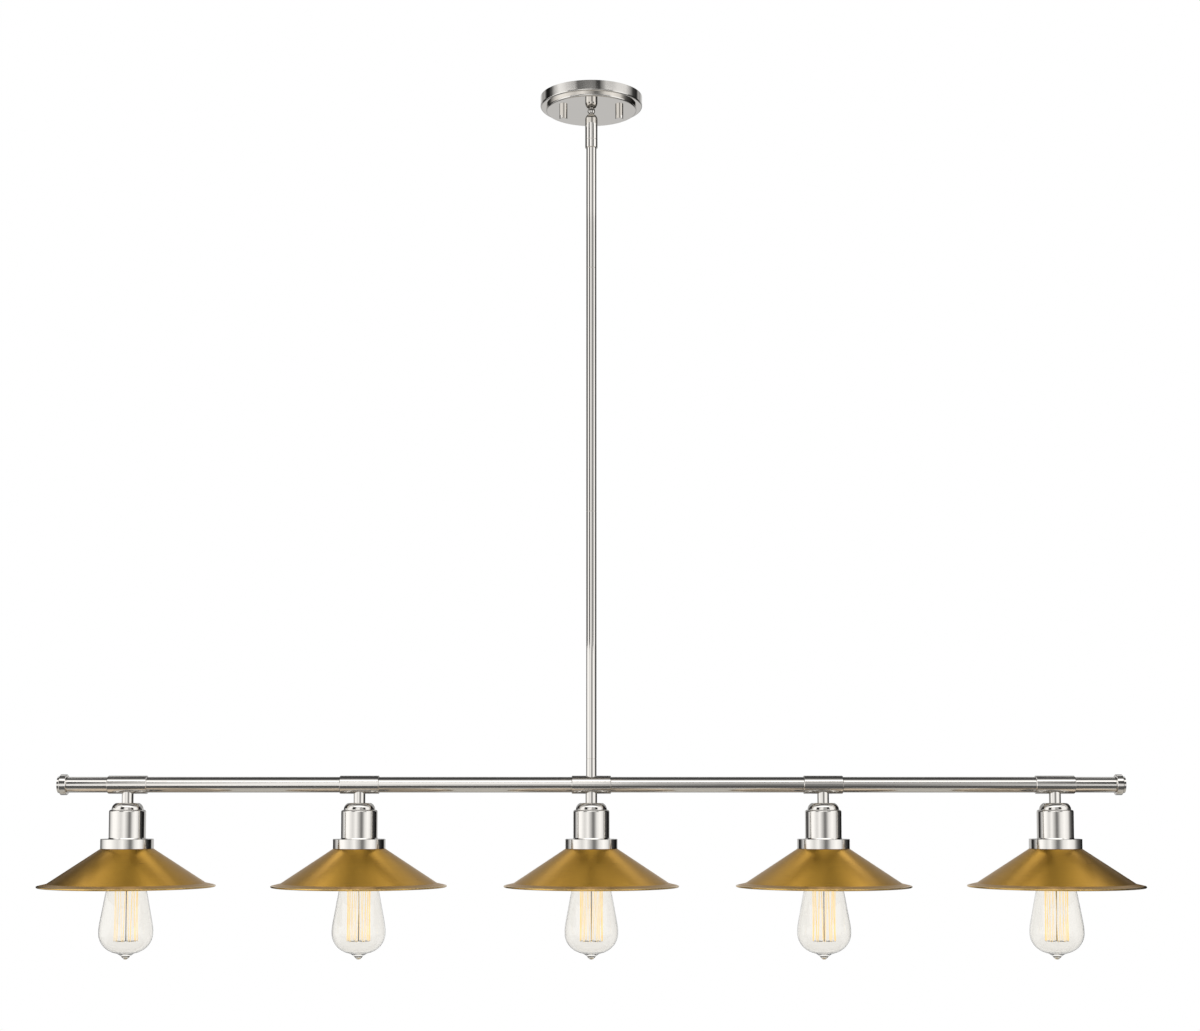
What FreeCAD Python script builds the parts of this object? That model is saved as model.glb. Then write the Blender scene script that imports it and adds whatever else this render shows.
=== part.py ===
import FreeCAD, Part
import math
import os
from types import SimpleNamespace

import Sketcher

# A linear island pendant: a round ceiling canopy, a ball swivel, a stem of screwed rods, and a
# straight bar that carries five lampholders with cone shades and long clear bulbs.
# Frame: the origin is the middle of the canopy's ceiling face, +Z is up, +X runs along the bar
# and +Y points to the back. Everything hangs below z = 0. Lengths are in millimetres.

LAMPS_EACH_SIDE = 2
LAMPS = 2 * LAMPS_EACH_SIDE + 1

SIZES = {
    # canopy, a spun dish in two steps that is open towards the ceiling
    "canopy_radius": 63.5,
    "canopy_rim_height": 13.0,
    "canopy_tier_radius": 56.5,
    "canopy_tier_height": 4.5,
    "canopy_wall": 1.2,
    "canopy_edge_round": 1.8,
    # crossbar that screws to the ceiling box, and the studs that carry the canopy
    "bracket_length": 104.0,
    "bracket_width": 19.0,
    "bracket_thickness": 1.6,
    "bracket_centre_hole_radius": 5.2,
    "box_screw_spacing": 88.9,
    "box_slot_length": 10.4,
    "box_slot_width": 4.6,
    "mounting_stud_spacing": 69.85,
    "mounting_stud_radius": 2.08,
    "mounting_stud_grip": 5.5,
    "bracket_nut_width": 8.7,
    "bracket_nut_height": 3.2,
    "knob_radius": 5.0,
    "knob_height": 9.8,
    "ground_screw_place": 18.0,
    "ground_screw_radius": 1.9,
    "ground_head_radius": 3.6,
    "ground_head_height": 2.4,
    "ground_slot_width": 0.9,
    "ground_slot_depth": 1.0,
    # ball swivel
    "ball_radius": 5.6,
    "ball_drop": 10.5,
    "neck_radius": 2.6,
    "neck_flange_radius": 4.3,
    "neck_flange_height": 2.7,
    "neck_taper_height": 0.6,
    "neck_seat_radius": 4.8,
    "stud_thread_radius": 3.9,
    "stud_bore_radius": 1.9,
    "stud_rise": 8.5,
    "ball_nut_width": 13.0,
    "ball_nut_height": 5.0,
    "ball_gap": 0.15,
    "seat_thickness": 0.75,
    "seat_top_angle": 53.0,
    "seat_bottom_angle": 98.0,
    "swivel_radius": 7.75,
    "swivel_lip_angle": 48.0,
    "swivel_cup_drop": 25.9,
    "swivel_collar_height": 10.4,
    "swivel_spigot": 12.0,
    "edge_break": 0.3,
    # stem: three rods on hollow threaded nipples, and the foot that lands on the bar
    "rod_radius": 6.35,
    "short_rod": 152.4,
    "long_rod": 304.8,
    "nipple_radius": 5.1,
    "nipple_bore_radius": 3.75,
    "nipple_length": 24.0,
    "foot_height": 20.6,
    # bar: sleeves at the lamps, tubes between them, and caps at both ends
    "lamp_pitch": 283.5,
    "sleeve_radius": 11.1,
    "sleeve_length": 48.0,
    "sleeve_socket_depth": 14.0,
    "wireway_radius": 6.0,
    "tube_radius": 9.525,
    "tube_wall": 1.25,
    "bar_overhang": 74.0,
    "cap_radius": 12.7,
    "cap_flange_length": 8.2,
    "cap_socket_depth": 5.0,
    "cap_dome_radius": 10.0,
    "cap_dome_side": 3.0,
    "cap_dome_rise": 1.6,
    # lamp: neck, two-step cup, collar and shade, in a stack under the bar
    "neck_tube_radius": 7.1,
    "neck_length": 11.2,
    "cup_radius": 22.2,
    "cup_top_radius": 14.1,
    "cup_tier_radius": 19.2,
    "cup_tier_height": 8.2,
    "cup_step_height": 2.6,
    "cup_height": 43.8,
    "cup_wall": 1.0,
    "cup_lip": 0.7,
    "cup_lip_height": 1.4,
    "collar_radius": 32.0,
    "collar_height": 11.6,
    "collar_wall": 1.0,
    "shade_top_radius": 31.4,
    "shade_cone_radius": 95.0,
    "shade_cone_height": 42.2,
    "shade_radius": 107.0,
    "shade_lip_drop": 2.6,
    "shade_bead_radius": 1.1,
    "shade_wall": 1.0,
    # lampholder with a medium screw shell
    "holder_top_gap": 6.5,
    "holder_cap_radius": 13.0,
    "holder_cap_slope": 10.0,
    "holder_cap_plate": 7.0,
    "holder_radius": 19.0,
    "holder_wall": 3.5,
    "holder_plate": 4.0,
    "holder_well": 27.0,
    "holder_reach": 18.3,
    "shell_wall": 0.5,
    "shell_length": 25.0,
    "shell_turns": 4.75,
    "contact_radius": 4.0,
    "contact_height": 1.55,
    "rivet_radius": 1.5,
    "ring_radius": 26.0,
    "ring_height": 7.0,
    # bulb, measured down from its contact tip
    "thread_pitch": 3.629,
    "thread_ridge": 0.8,
    "thread_root_width": 1.8,
    "thread_crest_width": 0.7,
    "thread_clearance": 0.35,
    "base_core_radius": 12.35,
    "base_wall": 0.65,
    "base_length": 27.0,
    "base_rim_radius": 13.1,
    "base_rim_height": 1.6,
    "base_thread_end": 22.5,
    "base_turns": 3.75,
    "insulator_radius": 9.8,
    "insulator_height": 3.0,
    "tip_radius": 4.8,
    "tip_height": 1.6,
    "glass_wall": 0.8,
    "glass_neck_radius": 13.0,
    "glass_neck_length": 4.1,
    "glass_insert": 7.0,
    "glass_flare_round": 19.5,
    "glass_flare_angle": 45.0,
    "glass_cone_angle": 10.4,
    "glass_radius": 32.7,
    "glass_belly_round": 66.0,
    "glass_bottom_depth": 26.6,
    "glass_bottom_round": 25.0,
    "pip_radius": 10.5,
    "pip_tip_radius": 4.2,
    "pip_waist_height": 4.8,
    "pip_waist_round": 14.0,
    "pip_height": 6.0,
    "cage_radius": 13.5,
    "cage_top": 47.0,
    "cage_height": 71.0,
    "cage_strand_radius": 0.35,
    "stem_foot_radius": 10.2,
    "stem_glass_radius": 2.2,
    "stem_wire_radius": 0.8,
    # wires inside the tubes
    "lead_radius": 0.85,
    "bar_lead_drop": 3.4,
    "splice_radius": 1.5,
    "splice_length": 9.0,
    "wire_bend": 2.6,
    "wire_run": 10.0,
    "wire_nut_radius": 3.8,
    "wire_nut_tip_radius": 2.6,
    "wire_nut_length": 16.0,
    # clearances
    "thread_gap": 0.1,
    "seat_gap": 0.1,
    "loose_gap": 0.3,
}

CAGE_STRANDS = 10


class Size:
    """A length or an angle that keeps its formula in the sheet beside its value."""

    def __init__(self, value, formula):
        self.value = float(value)
        self.formula = formula

    def __add__(self, other):
        other = as_size(other)
        return Size(self.value + other.value, f"({self.formula} + {other.formula})")

    def __sub__(self, other):
        other = as_size(other)
        return Size(self.value - other.value, f"({self.formula} - {other.formula})")

    def __rsub__(self, other):
        return as_size(other) - self

    def __mul__(self, other):
        other = as_size(other)
        return Size(self.value * other.value, f"({self.formula} * {other.formula})")

    def __truediv__(self, other):
        other = as_size(other)
        return Size(self.value / other.value, f"({self.formula} / {other.formula})")

    def __neg__(self):
        return Size(-self.value, f"(0 - {self.formula})")

    __radd__ = __add__
    __rmul__ = __mul__


def as_size(number):
    """A plain number as a Size, and a Size as it is."""
    return number if isinstance(number, Size) else Size(number, f"({float(number)})")


def sine(angle):
    return Size(math.sin(math.radians(angle.value)), f"sin({angle.formula})")


def cosine(angle):
    return Size(math.cos(math.radians(angle.value)), f"cos({angle.formula})")


def root(size):
    return Size(math.sqrt(size.value), f"sqrt({size.formula})")


def other_side(hypotenuse, side):
    """The third side of a right-angled triangle."""
    return root(hypotenuse * hypotenuse - side * side)


size = SimpleNamespace(**{name: Size(value, f"Sizes.{name}") for name, value in SIZES.items()})

# Heights down the stem, each from the pieces above it.
canopy_depth = size.canopy_rim_height + size.canopy_tier_height
ball_depth = canopy_depth + size.ball_drop
seam_depth = ball_depth + size.swivel_cup_drop
rod_top_depth = seam_depth + size.swivel_collar_height
upper_seam_depth = rod_top_depth + size.short_rod
middle_seam_depth = upper_seam_depth + size.long_rod
foot_top_depth = middle_seam_depth + size.long_rod
bar_depth = foot_top_depth + size.foot_height + size.sleeve_radius

# Depths below the bar's axis, each from the pieces above it in the lamp's stack.
cup_depth = size.sleeve_radius + size.neck_length
collar_depth = cup_depth + size.cup_height
shade_depth = collar_depth + size.collar_height
holder_depth = cup_depth + size.cup_wall + size.holder_top_gap
ring_depth = shade_depth + size.shade_wall
holder_mouth_depth = ring_depth + size.holder_reach
well_top_depth = holder_mouth_depth - size.holder_well
plate_top_depth = well_top_depth - size.holder_plate
tip_depth = well_top_depth + size.contact_height + size.loose_gap

# Radii that mating pieces share.
nipple_hole_radius = size.nipple_radius + size.thread_gap
seat_inner_radius = size.ball_radius + size.ball_gap
seat_outer_radius = seat_inner_radius + size.seat_thickness
swivel_bore_radius = seat_outer_radius + size.ball_gap
tube_socket_radius = size.tube_radius + size.thread_gap
tube_bore_radius = size.tube_radius - size.tube_wall
lead_offset = size.nipple_bore_radius - size.lead_radius - size.loose_gap
stud_lead_offset = size.stud_bore_radius - size.lead_radius - size.thread_gap
holder_hole_radius = size.holder_radius + size.loose_gap
thread_crest_radius = size.base_core_radius + size.thread_ridge
shell_valley_radius = thread_crest_radius + size.thread_clearance
shell_crest_radius = size.base_core_radius + size.thread_clearance
shell_outer_radius = shell_valley_radius + size.shell_wall
holder_bore_radius = shell_outer_radius + size.thread_gap

# Places along the bar.
sleeve_half = size.sleeve_length / 2
tube_start = sleeve_half - size.sleeve_socket_depth + size.seat_gap
first_lamp = -LAMPS_EACH_SIDE * size.lamp_pitch
cap_place = LAMPS_EACH_SIDE * size.lamp_pitch + size.bar_overhang

doc = FreeCAD.newDocument("island_pendant")
sheet = doc.addObject("Spreadsheet::Sheet", "Sizes")
for row, (name, value) in enumerate(SIZES.items(), start=1):
    sheet.set(f"A{row}", name)
    sheet.set(f"B{row}", str(value))
    sheet.setAlias(f"B{row}", name)
doc.recompute()

nodes = []


def new_body(name, across=0, height=0, is_node=True):
    """A body whose own origin stands at this place along the bar and at this height."""
    body = doc.addObject("PartDesign::Body", name)
    body.Label = name
    for axis, place in (("x", across), ("z", height)):
        place = as_size(place)
        if place.value:
            body.setExpression(f"Placement.Base.{axis}", place.formula)
    if is_node:
        nodes.append(body)
    return body


def origin_feature(body, role):
    """One of the body's own origin planes or axes."""
    for feature in body.Origin.OriginFeatures:
        if feature.Role == role:
            return feature
    raise LookupError(role)


def fix_point(sketch, edge, point, x, y):
    """Hold one point of an edge at a place that follows the sheet."""
    for kind, axis, value in (("DistanceX", -2, x), ("DistanceY", -1, y)):
        value = as_size(value)
        if value.value == 0:
            sketch.addConstraint(Sketcher.Constraint("PointOnObject", edge, point, axis))
            continue
        index = sketch.addConstraint(
            Sketcher.Constraint(kind, -1, 1, edge, point, value.value)
        )
        sketch.setExpression(f"Constraints[{index}]", value.formula)


def fix_radius(sketch, edge, radius):
    index = sketch.addConstraint(Sketcher.Constraint("Radius", edge, radius.value))
    sketch.setExpression(f"Constraints[{index}]", radius.formula)


def arc_between(start, end, bend):
    """An arc of radius |bend|; it curves to the left of its travel when bend is positive."""
    chord = end - start
    half = chord.Length / 2
    left = FreeCAD.Vector(-chord.y, chord.x, 0).normalize()
    rise = math.sqrt(max(bend * bend - half * half, 0.0))
    centre = (start + end) / 2 + left * math.copysign(rise, bend)
    first, last = (start, end) if bend > 0 else (end, start)
    angles = [math.atan2(point.y - centre.y, point.x - centre.x) for point in (first, last)]
    if angles[1] <= angles[0]:
        angles[1] += 2 * math.pi
    circle = Part.Circle(centre, FreeCAD.Vector(0, 0, 1), abs(bend))
    return Part.ArcOfCircle(circle, angles[0], angles[1])


def add_loop(sketch, corners):
    """A closed outline. Each corner is (x, y), or (x, y, bend) where an arc leaves it."""
    points = []
    for corner in corners:
        x, y = as_size(corner[0]), as_size(corner[1])
        points.append(FreeCAD.Vector(x.value, y.value, 0))
    edges = []
    for index, corner in enumerate(corners):
        start, end = points[index], points[(index + 1) % len(points)]
        bend = corner[2] if len(corner) > 2 else None
        if bend is None:
            edge = sketch.addGeometry(Part.LineSegment(start, end), False)
            ends = (1, 2)
        else:
            edge = sketch.addGeometry(arc_between(start, end, bend.value), False)
            ends = (1, 2) if bend.value > 0 else (2, 1)
        edges.append((edge, ends, bend))
    for index, (edge, ends, bend) in enumerate(edges):
        after, after_ends, _ = edges[(index + 1) % len(edges)]
        sketch.addConstraint(
            Sketcher.Constraint("Coincident", edge, ends[1], after, after_ends[0])
        )
    for (edge, ends, bend), corner in zip(edges, corners):
        fix_point(sketch, edge, ends[0], corner[0], corner[1])
        if bend is not None:
            fix_radius(sketch, edge, bend if bend.value > 0 else -bend)


def add_circle(sketch, x, y, radius):
    centre = FreeCAD.Vector(as_size(x).value, as_size(y).value, 0)
    edge = sketch.addGeometry(
        Part.Circle(centre, FreeCAD.Vector(0, 0, 1), radius.value), False
    )
    fix_point(sketch, edge, 3, x, y)
    fix_radius(sketch, edge, radius)


def draw(body, plane, loops=(), circles=(), level=0):
    """A sketch on one of the body's origin planes, lifted off it by level."""
    sketch = body.newObject("Sketcher::SketchObject", "Profile")
    sketch.AttachmentSupport = [(origin_feature(body, plane), "")]
    sketch.MapMode = "FlatFace"
    level = as_size(level)
    if level.value:
        sketch.setExpression("AttachmentOffset.Base.z", level.formula)
    for corners in loops:
        add_loop(sketch, corners)
    for circle in circles:
        add_circle(sketch, *circle)
    return sketch


def revolve(body, corners, axis="V_Axis"):
    """Turn an outline in the body's XZ plane about the upright axis, or about the bar's."""
    sketch = draw(body, "XZ_Plane", [corners])
    turned = body.newObject("PartDesign::Revolution", "Turned")
    turned.Profile = sketch
    turned.ReferenceAxis = (sketch, [axis])
    turned.Angle = 360
    return turned


def pad(body, sketch, length, downwards=False):
    block = body.newObject("PartDesign::Pad", "Block")
    block.Profile = sketch
    block.setExpression("Length", length.formula)
    block.Reversed = downwards
    return block


def pocket(body, sketch, depth, upwards=False, both_ways=False):
    """Cut a sketch's shape out of the body, downwards unless it says otherwise."""
    cut = body.newObject("PartDesign::Pocket", "Cut")
    cut.Profile = sketch
    cut.setExpression("Length", depth.formula)
    cut.Reversed = upwards
    if both_ways:
        cut.Midplane = True
    return cut


def repeat_along_bar(body, count, spacing):
    """Copies of the whole body as separate solids, at even steps along the bar."""
    doc.recompute()
    pattern = body.newObject("PartDesign::LinearPattern", "Row")
    pattern.TransformMode = "Whole shape"
    pattern.Direction = (origin_feature(body, "X_Axis"), [""])
    pattern.Mode = "Spacing"
    pattern.setExpression("Offset", spacing.formula)
    pattern.Occurrences = count
    body.Tip = pattern


def mirror(body, plane):
    """A second copy of the whole body on the other side of one of its origin planes."""
    doc.recompute()
    copy = body.newObject("PartDesign::Mirrored", "OtherSide")
    copy.TransformMode = "Whole shape"
    copy.MirrorPlane = (origin_feature(body, plane), [""])
    body.Tip = copy


def helical_ridge(body, root_radius, crest_radius, start, turns):
    """A right-hand ridge of the thread's pitch, from this height upwards."""
    root_half = size.thread_root_width / 2
    crest_half = size.thread_crest_width / 2
    sketch = draw(body, "XZ_Plane", [[
        (root_radius, start - root_half),
        (crest_radius, start - crest_half),
        (crest_radius, start + crest_half),
        (root_radius, start + root_half),
    ]])
    ridge = body.newObject("PartDesign::AdditiveHelix", "Thread")
    ridge.Profile = sketch
    ridge.ReferenceAxis = (sketch, ["V_Axis"])
    ridge.Mode = "pitch-height-angle"
    ridge.setExpression("Pitch", size.thread_pitch.formula)
    ridge.setExpression("Height", (size.thread_pitch * turns).formula)
    return ridge


def ring_corners(inner, outer, low, high, edge=None):
    """The section of a plain ring, with its outer edges broken where edge is given."""
    if edge is None:
        return [(inner, low), (outer, low), (outer, high), (inner, high)]
    return [
        (inner, low), (outer - edge, low), (outer, low + edge),
        (outer, high - edge), (outer - edge, high), (inner, high),
    ]


def hexagon(width):
    """A hexagon across the flats given, with two flats parallel to Y."""
    half = width / 2
    point = width / math.sqrt(3)
    side = point / 2
    return [(half, -side), (half, side), (0, point), (-half, side), (-half, -side), (0, -point)]


def slot(x, length, width):
    """A round-ended slot along X, centred on x."""
    end = width / 2
    reach = length / 2
    return [
        (x - reach + end, -end), (x + reach - end, -end, end), (x + reach, 0, end),
        (x + reach - end, end), (x - reach + end, end, end), (x - reach, 0, end),
    ]


# ---------------------------------------------------------------- canopy and its hardware

def make_canopy():
    body = new_body("canopy")
    hole = size.stud_thread_radius + size.loose_gap
    wall, edge = size.canopy_wall, size.canopy_edge_round
    tier, rim = size.canopy_tier_radius, size.canopy_radius
    step = -size.canopy_rim_height
    revolve(body, [
        (hole, -canopy_depth),
        (tier - edge, -canopy_depth, edge),
        (tier, edge - canopy_depth),
        (tier, step),
        (rim - edge, step, edge),
        (rim, step + edge),
        (rim, 0),
        (rim - wall, 0),
        (rim - wall, step + wall),
        (tier - wall, step + wall),
        (tier - wall, wall - canopy_depth),
        (hole, wall - canopy_depth),
    ])
    side = size.mounting_stud_spacing / 2
    stud_hole = size.mounting_stud_radius + size.loose_gap
    holes = draw(body, "XY_Plane", circles=[(side, 0, stud_hole), (-side, 0, stud_hole)])
    pocket(body, holes, canopy_depth + size.canopy_wall)


def make_mounting_bracket():
    body = new_body("mounting_bracket")
    half_length, half_width = size.bracket_length / 2, size.bracket_width / 2
    slot_place = size.box_screw_spacing / 2
    stud_place = size.mounting_stud_spacing / 2
    stud_hole = size.mounting_stud_radius + size.thread_gap
    outline = [
        (-half_length, -half_width), (half_length, -half_width),
        (half_length, half_width), (-half_length, half_width),
    ]
    slots = [
        slot(place, size.box_slot_length, size.box_slot_width)
        for place in (slot_place, -slot_place)
    ]
    ground_hole = size.ground_screw_radius + size.thread_gap
    sketch = draw(body, "XY_Plane", [outline, *slots], circles=[
        (0, 0, size.bracket_centre_hole_radius),
        (stud_place, 0, stud_hole),
        (-stud_place, 0, stud_hole),
        (size.ground_screw_place, 0, ground_hole),
    ])
    pad(body, sketch, size.bracket_thickness, downwards=True)


def make_mounting_studs():
    body = new_body("mounting_studs", across=-size.mounting_stud_spacing / 2)
    length = canopy_depth + size.mounting_stud_grip
    edge = size.edge_break
    radius = size.mounting_stud_radius
    revolve(body, [
        (0, -length), (radius - edge, -length), (radius, edge - length), (radius, 0), (0, 0),
    ])
    repeat_along_bar(body, 2, size.mounting_stud_spacing)


def make_bracket_nuts():
    body = new_body(
        "bracket_nuts",
        across=-size.mounting_stud_spacing / 2,
        height=-size.bracket_thickness,
    )
    bore = size.mounting_stud_radius + size.thread_gap
    sketch = draw(body, "XY_Plane", [hexagon(size.bracket_nut_width)], circles=[(0, 0, bore)])
    pad(body, sketch, size.bracket_nut_height, downwards=True)
    repeat_along_bar(body, 2, size.mounting_stud_spacing)


def make_canopy_knobs():
    body = new_body(
        "canopy_knobs", across=-size.mounting_stud_spacing / 2, height=-canopy_depth
    )
    bore = size.mounting_stud_radius + size.thread_gap
    blind = size.mounting_stud_grip + size.loose_gap
    low, edge, radius = -size.knob_height, size.edge_break, size.knob_radius
    revolve(body, [
        (0, low), (radius - edge, low), (radius, low + edge),
        (radius, 0), (bore, 0), (bore, -blind), (0, -blind),
    ])
    repeat_along_bar(body, 2, size.mounting_stud_spacing)


def make_ground_screw():
    body = new_body(
        "ground_screw", across=size.ground_screw_place, height=-size.bracket_thickness
    )
    shank, head = size.ground_screw_radius, size.ground_head_radius
    low, edge = -size.ground_head_height, size.edge_break
    revolve(body, [
        (0, low), (head - edge, low), (head, low + edge),
        (head, 0), (shank, 0), (shank, size.bracket_thickness), (0, size.bracket_thickness),
    ])
    half = size.ground_slot_width / 2
    blade = draw(body, "XY_Plane", [[
        (-head, -half), (head, -half), (head, half), (-head, half),
    ]], level=low)
    pocket(body, blade, size.ground_slot_depth, upwards=True)


def make_ball_stud_nut():
    body = new_body("ball_stud_nut", height=size.canopy_wall - canopy_depth)
    bore = size.stud_thread_radius + size.thread_gap
    sketch = draw(body, "XY_Plane", [hexagon(size.ball_nut_width)], circles=[(0, 0, bore)])
    pad(body, sketch, size.ball_nut_height)


def make_canopy_leads():
    """Two wires that rise through the ball stud and bend away over the canopy's floor."""
    body = new_body("canopy_leads", height=size.stud_rise - canopy_depth)
    offset, bend = stud_lead_offset, size.wire_bend
    below = size.stud_rise + size.ball_drop
    path = body.newObject("Sketcher::SketchObject", "Route")
    path.AttachmentSupport = [(origin_feature(body, "YZ_Plane"), "")]
    path.MapMode = "FlatFace"
    start = FreeCAD.Vector(offset.value, -below.value, 0)
    knee = FreeCAD.Vector(offset.value, 0, 0)
    turned = FreeCAD.Vector((offset + bend).value, bend.value, 0)
    end = FreeCAD.Vector((offset + bend + size.wire_run).value, bend.value, 0)
    path.addGeometry(Part.LineSegment(start, knee), False)
    path.addGeometry(arc_between(knee, turned, -bend.value), False)
    path.addGeometry(Part.LineSegment(turned, end), False)
    path.addConstraint(Sketcher.Constraint("Coincident", 0, 2, 1, 2))
    path.addConstraint(Sketcher.Constraint("Coincident", 1, 1, 2, 1))
    fix_point(path, 0, 1, offset, -below)
    fix_point(path, 0, 2, offset, 0)
    fix_point(path, 2, 1, offset + bend, bend)
    fix_point(path, 2, 2, offset + bend + size.wire_run, bend)
    fix_radius(path, 1, bend)
    section = draw(body, "XY_Plane", circles=[(0, offset, size.lead_radius)], level=-below)
    wire = body.newObject("PartDesign::AdditivePipe", "Wire")
    wire.Profile = section
    wire.Spine = path
    mirror(body, "XZ_Plane")


def make_wire_nuts():
    """A moulded connector on the end of each canopy wire, its axis along Y."""
    body = new_body("wire_nuts", height=size.stud_rise - canopy_depth + size.wire_bend)
    mouth = stud_lead_offset + size.wire_bend + size.wire_run
    wide, narrow = size.wire_nut_radius, size.wire_nut_tip_radius
    end = mouth + size.wire_nut_length
    sketch = draw(body, "YZ_Plane", [[
        (mouth, 0), (mouth, wide), (mouth + wide, wide), (end, narrow), (end, 0),
    ]])
    turned = body.newObject("PartDesign::Revolution", "Turned")
    turned.Profile = sketch
    turned.ReferenceAxis = (sketch, ["H_Axis"])
    turned.Angle = 360
    mirror(body, "XZ_Plane")


# ---------------------------------------------------------------- ball swivel

def make_ball_stud():
    body = new_body("ball_stud", height=-ball_depth)
    ball, bore, neck = size.ball_radius, size.stud_bore_radius, size.neck_radius
    flange, thread = size.neck_flange_radius, size.stud_thread_radius
    under_canopy = size.ball_drop
    flange_low = under_canopy - size.neck_flange_height
    revolve(body, [
        (bore, -other_side(ball, bore), ball),
        (neck, other_side(ball, neck)),
        (neck, flange_low - size.neck_taper_height),
        (flange, flange_low),
        (size.neck_seat_radius, under_canopy),
        (thread, under_canopy),
        (thread, under_canopy + size.stud_rise - size.edge_break),
        (thread - size.edge_break, under_canopy + size.stud_rise),
        (bore, under_canopy + size.stud_rise),
    ])


def make_swivel_seat():
    """A nylon zone of a hollow sphere between the ball and its cup."""
    body = new_body("swivel_seat", height=-ball_depth)
    inner, outer = seat_inner_radius, seat_outer_radius
    top_sine, top_cosine = sine(size.seat_top_angle), cosine(size.seat_top_angle)
    low_sine, low_cosine = sine(size.seat_bottom_angle), cosine(size.seat_bottom_angle)
    revolve(body, [
        (inner * low_sine, inner * low_cosine),
        (outer * low_sine, outer * low_cosine, outer),
        (outer * top_sine, outer * top_cosine),
        (inner * top_sine, inner * top_cosine, -inner),
    ])


def make_swivel_cup():
    body = new_body("swivel_cup", height=-ball_depth)
    inner, outer = swivel_bore_radius, size.swivel_radius
    lip_sine, lip_cosine = sine(size.swivel_lip_angle), cosine(size.swivel_lip_angle)
    low, edge = -size.swivel_cup_drop, size.edge_break
    revolve(body, [
        (inner, low),
        (outer - edge, low),
        (outer, low + edge),
        (outer, 0, outer),
        (outer * lip_sine, outer * lip_cosine),
        (inner * lip_sine, inner * lip_cosine, -inner),
        (inner, 0),
    ])


def make_swivel_collar():
    """Screws up into the cup and takes the first nipple."""
    body = new_body("swivel_collar", height=-seam_depth)
    low, edge, outer = -size.swivel_collar_height, size.edge_break, size.swivel_radius
    spigot = swivel_bore_radius - size.thread_gap
    revolve(body, [
        (nipple_hole_radius, low),
        (outer - edge, low),
        (outer, low + edge),
        (outer, -edge),
        (outer - edge, 0),
        (spigot, 0),
        (spigot, size.swivel_spigot),
        (nipple_hole_radius, size.swivel_spigot),
    ])


# ---------------------------------------------------------------- stem

def make_rods():
    rods = {
        "rod_upper": (rod_top_depth, size.short_rod),
        "rod_middle": (upper_seam_depth, size.long_rod),
        "rod_lower": (middle_seam_depth, size.long_rod),
    }
    for name, (top, length) in rods.items():
        body = new_body(name, height=-top)
        section = ring_corners(nipple_hole_radius, size.rod_radius, -length, 0, size.edge_break)
        revolve(body, section)


def make_rod_nipples():
    """Four hollow threaded tubes: one across each joint of the stem, and one into the bar."""
    half = size.nipple_length / 2
    spans = [
        (-rod_top_depth - half, -rod_top_depth + half),
        (-upper_seam_depth - half, -upper_seam_depth + half),
        (-middle_seam_depth - half, -middle_seam_depth + half),
        (size.wireway_radius - bar_depth, -foot_top_depth + half),
    ]
    pieces = []
    for number, (low, high) in enumerate(spans, start=1):
        body = new_body(f"rod_nipple_{number}", height=low, is_node=False)
        revolve(body, ring_corners(size.nipple_bore_radius, size.nipple_radius, 0, high - low))
        pieces.append(body)
    group = doc.addObject("Part::Compound", "rod_nipples")
    group.Label = "rod_nipples"
    group.Links = pieces
    nodes.append(group)


def make_stem_foot():
    """A short length of rod, hollowed at its lower end to sit on the centre sleeve."""
    body = new_body("stem_foot", height=-bar_depth)
    top = bar_depth - foot_top_depth
    edge = size.edge_break
    revolve(body, [
        (nipple_hole_radius, 0), (size.rod_radius, 0), (size.rod_radius, top - edge),
        (size.rod_radius - edge, top), (nipple_hole_radius, top),
    ])
    saddle = draw(body, "YZ_Plane", circles=[(0, 0, size.sleeve_radius + size.seat_gap)])
    pocket(body, saddle, size.sleeve_length, both_ways=True)


# ---------------------------------------------------------------- bar

def sleeve_corners(middle):
    """The section of a sleeve along the bar: a socket for a tube at each end."""
    edge, outer = size.edge_break * 2, size.sleeve_radius
    left, right = middle - sleeve_half, middle + sleeve_half
    return [
        (left, tube_socket_radius),
        (left + size.sleeve_socket_depth, tube_socket_radius),
        (left + size.sleeve_socket_depth, size.wireway_radius),
        (right - size.sleeve_socket_depth, size.wireway_radius),
        (right - size.sleeve_socket_depth, tube_socket_radius),
        (right, tube_socket_radius),
        (right, outer - edge),
        (right - edge, outer),
        (left + edge, outer),
        (left, outer - edge),
    ]


def make_centre_sleeve():
    body = new_body("centre_sleeve", height=-bar_depth)
    revolve(body, sleeve_corners(as_size(0)), axis="H_Axis")
    for upwards in (False, True):
        hole = draw(body, "XY_Plane", circles=[(0, 0, nipple_hole_radius)])
        pocket(body, hole, size.sleeve_radius, upwards=upwards)


def make_lamp_sleeves():
    body = new_body("lamp_sleeves", height=-bar_depth)
    revolve(body, sleeve_corners(size.lamp_pitch), axis="H_Axis")
    hole = draw(body, "XY_Plane", circles=[(size.lamp_pitch, 0, nipple_hole_radius)])
    pocket(body, hole, size.sleeve_radius)
    repeat_along_bar(body, LAMPS_EACH_SIDE, size.lamp_pitch)
    mirror(body, "YZ_Plane")


def make_bar_tubes():
    body = new_body("bar_tubes", across=first_lamp, height=-bar_depth)
    end = size.lamp_pitch - tube_start
    inner, outer = tube_bore_radius, size.tube_radius
    revolve(body, [
        (tube_start, inner), (end, inner), (end, outer), (tube_start, outer),
    ], axis="H_Axis")
    repeat_along_bar(body, LAMPS - 1, size.lamp_pitch)


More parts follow.
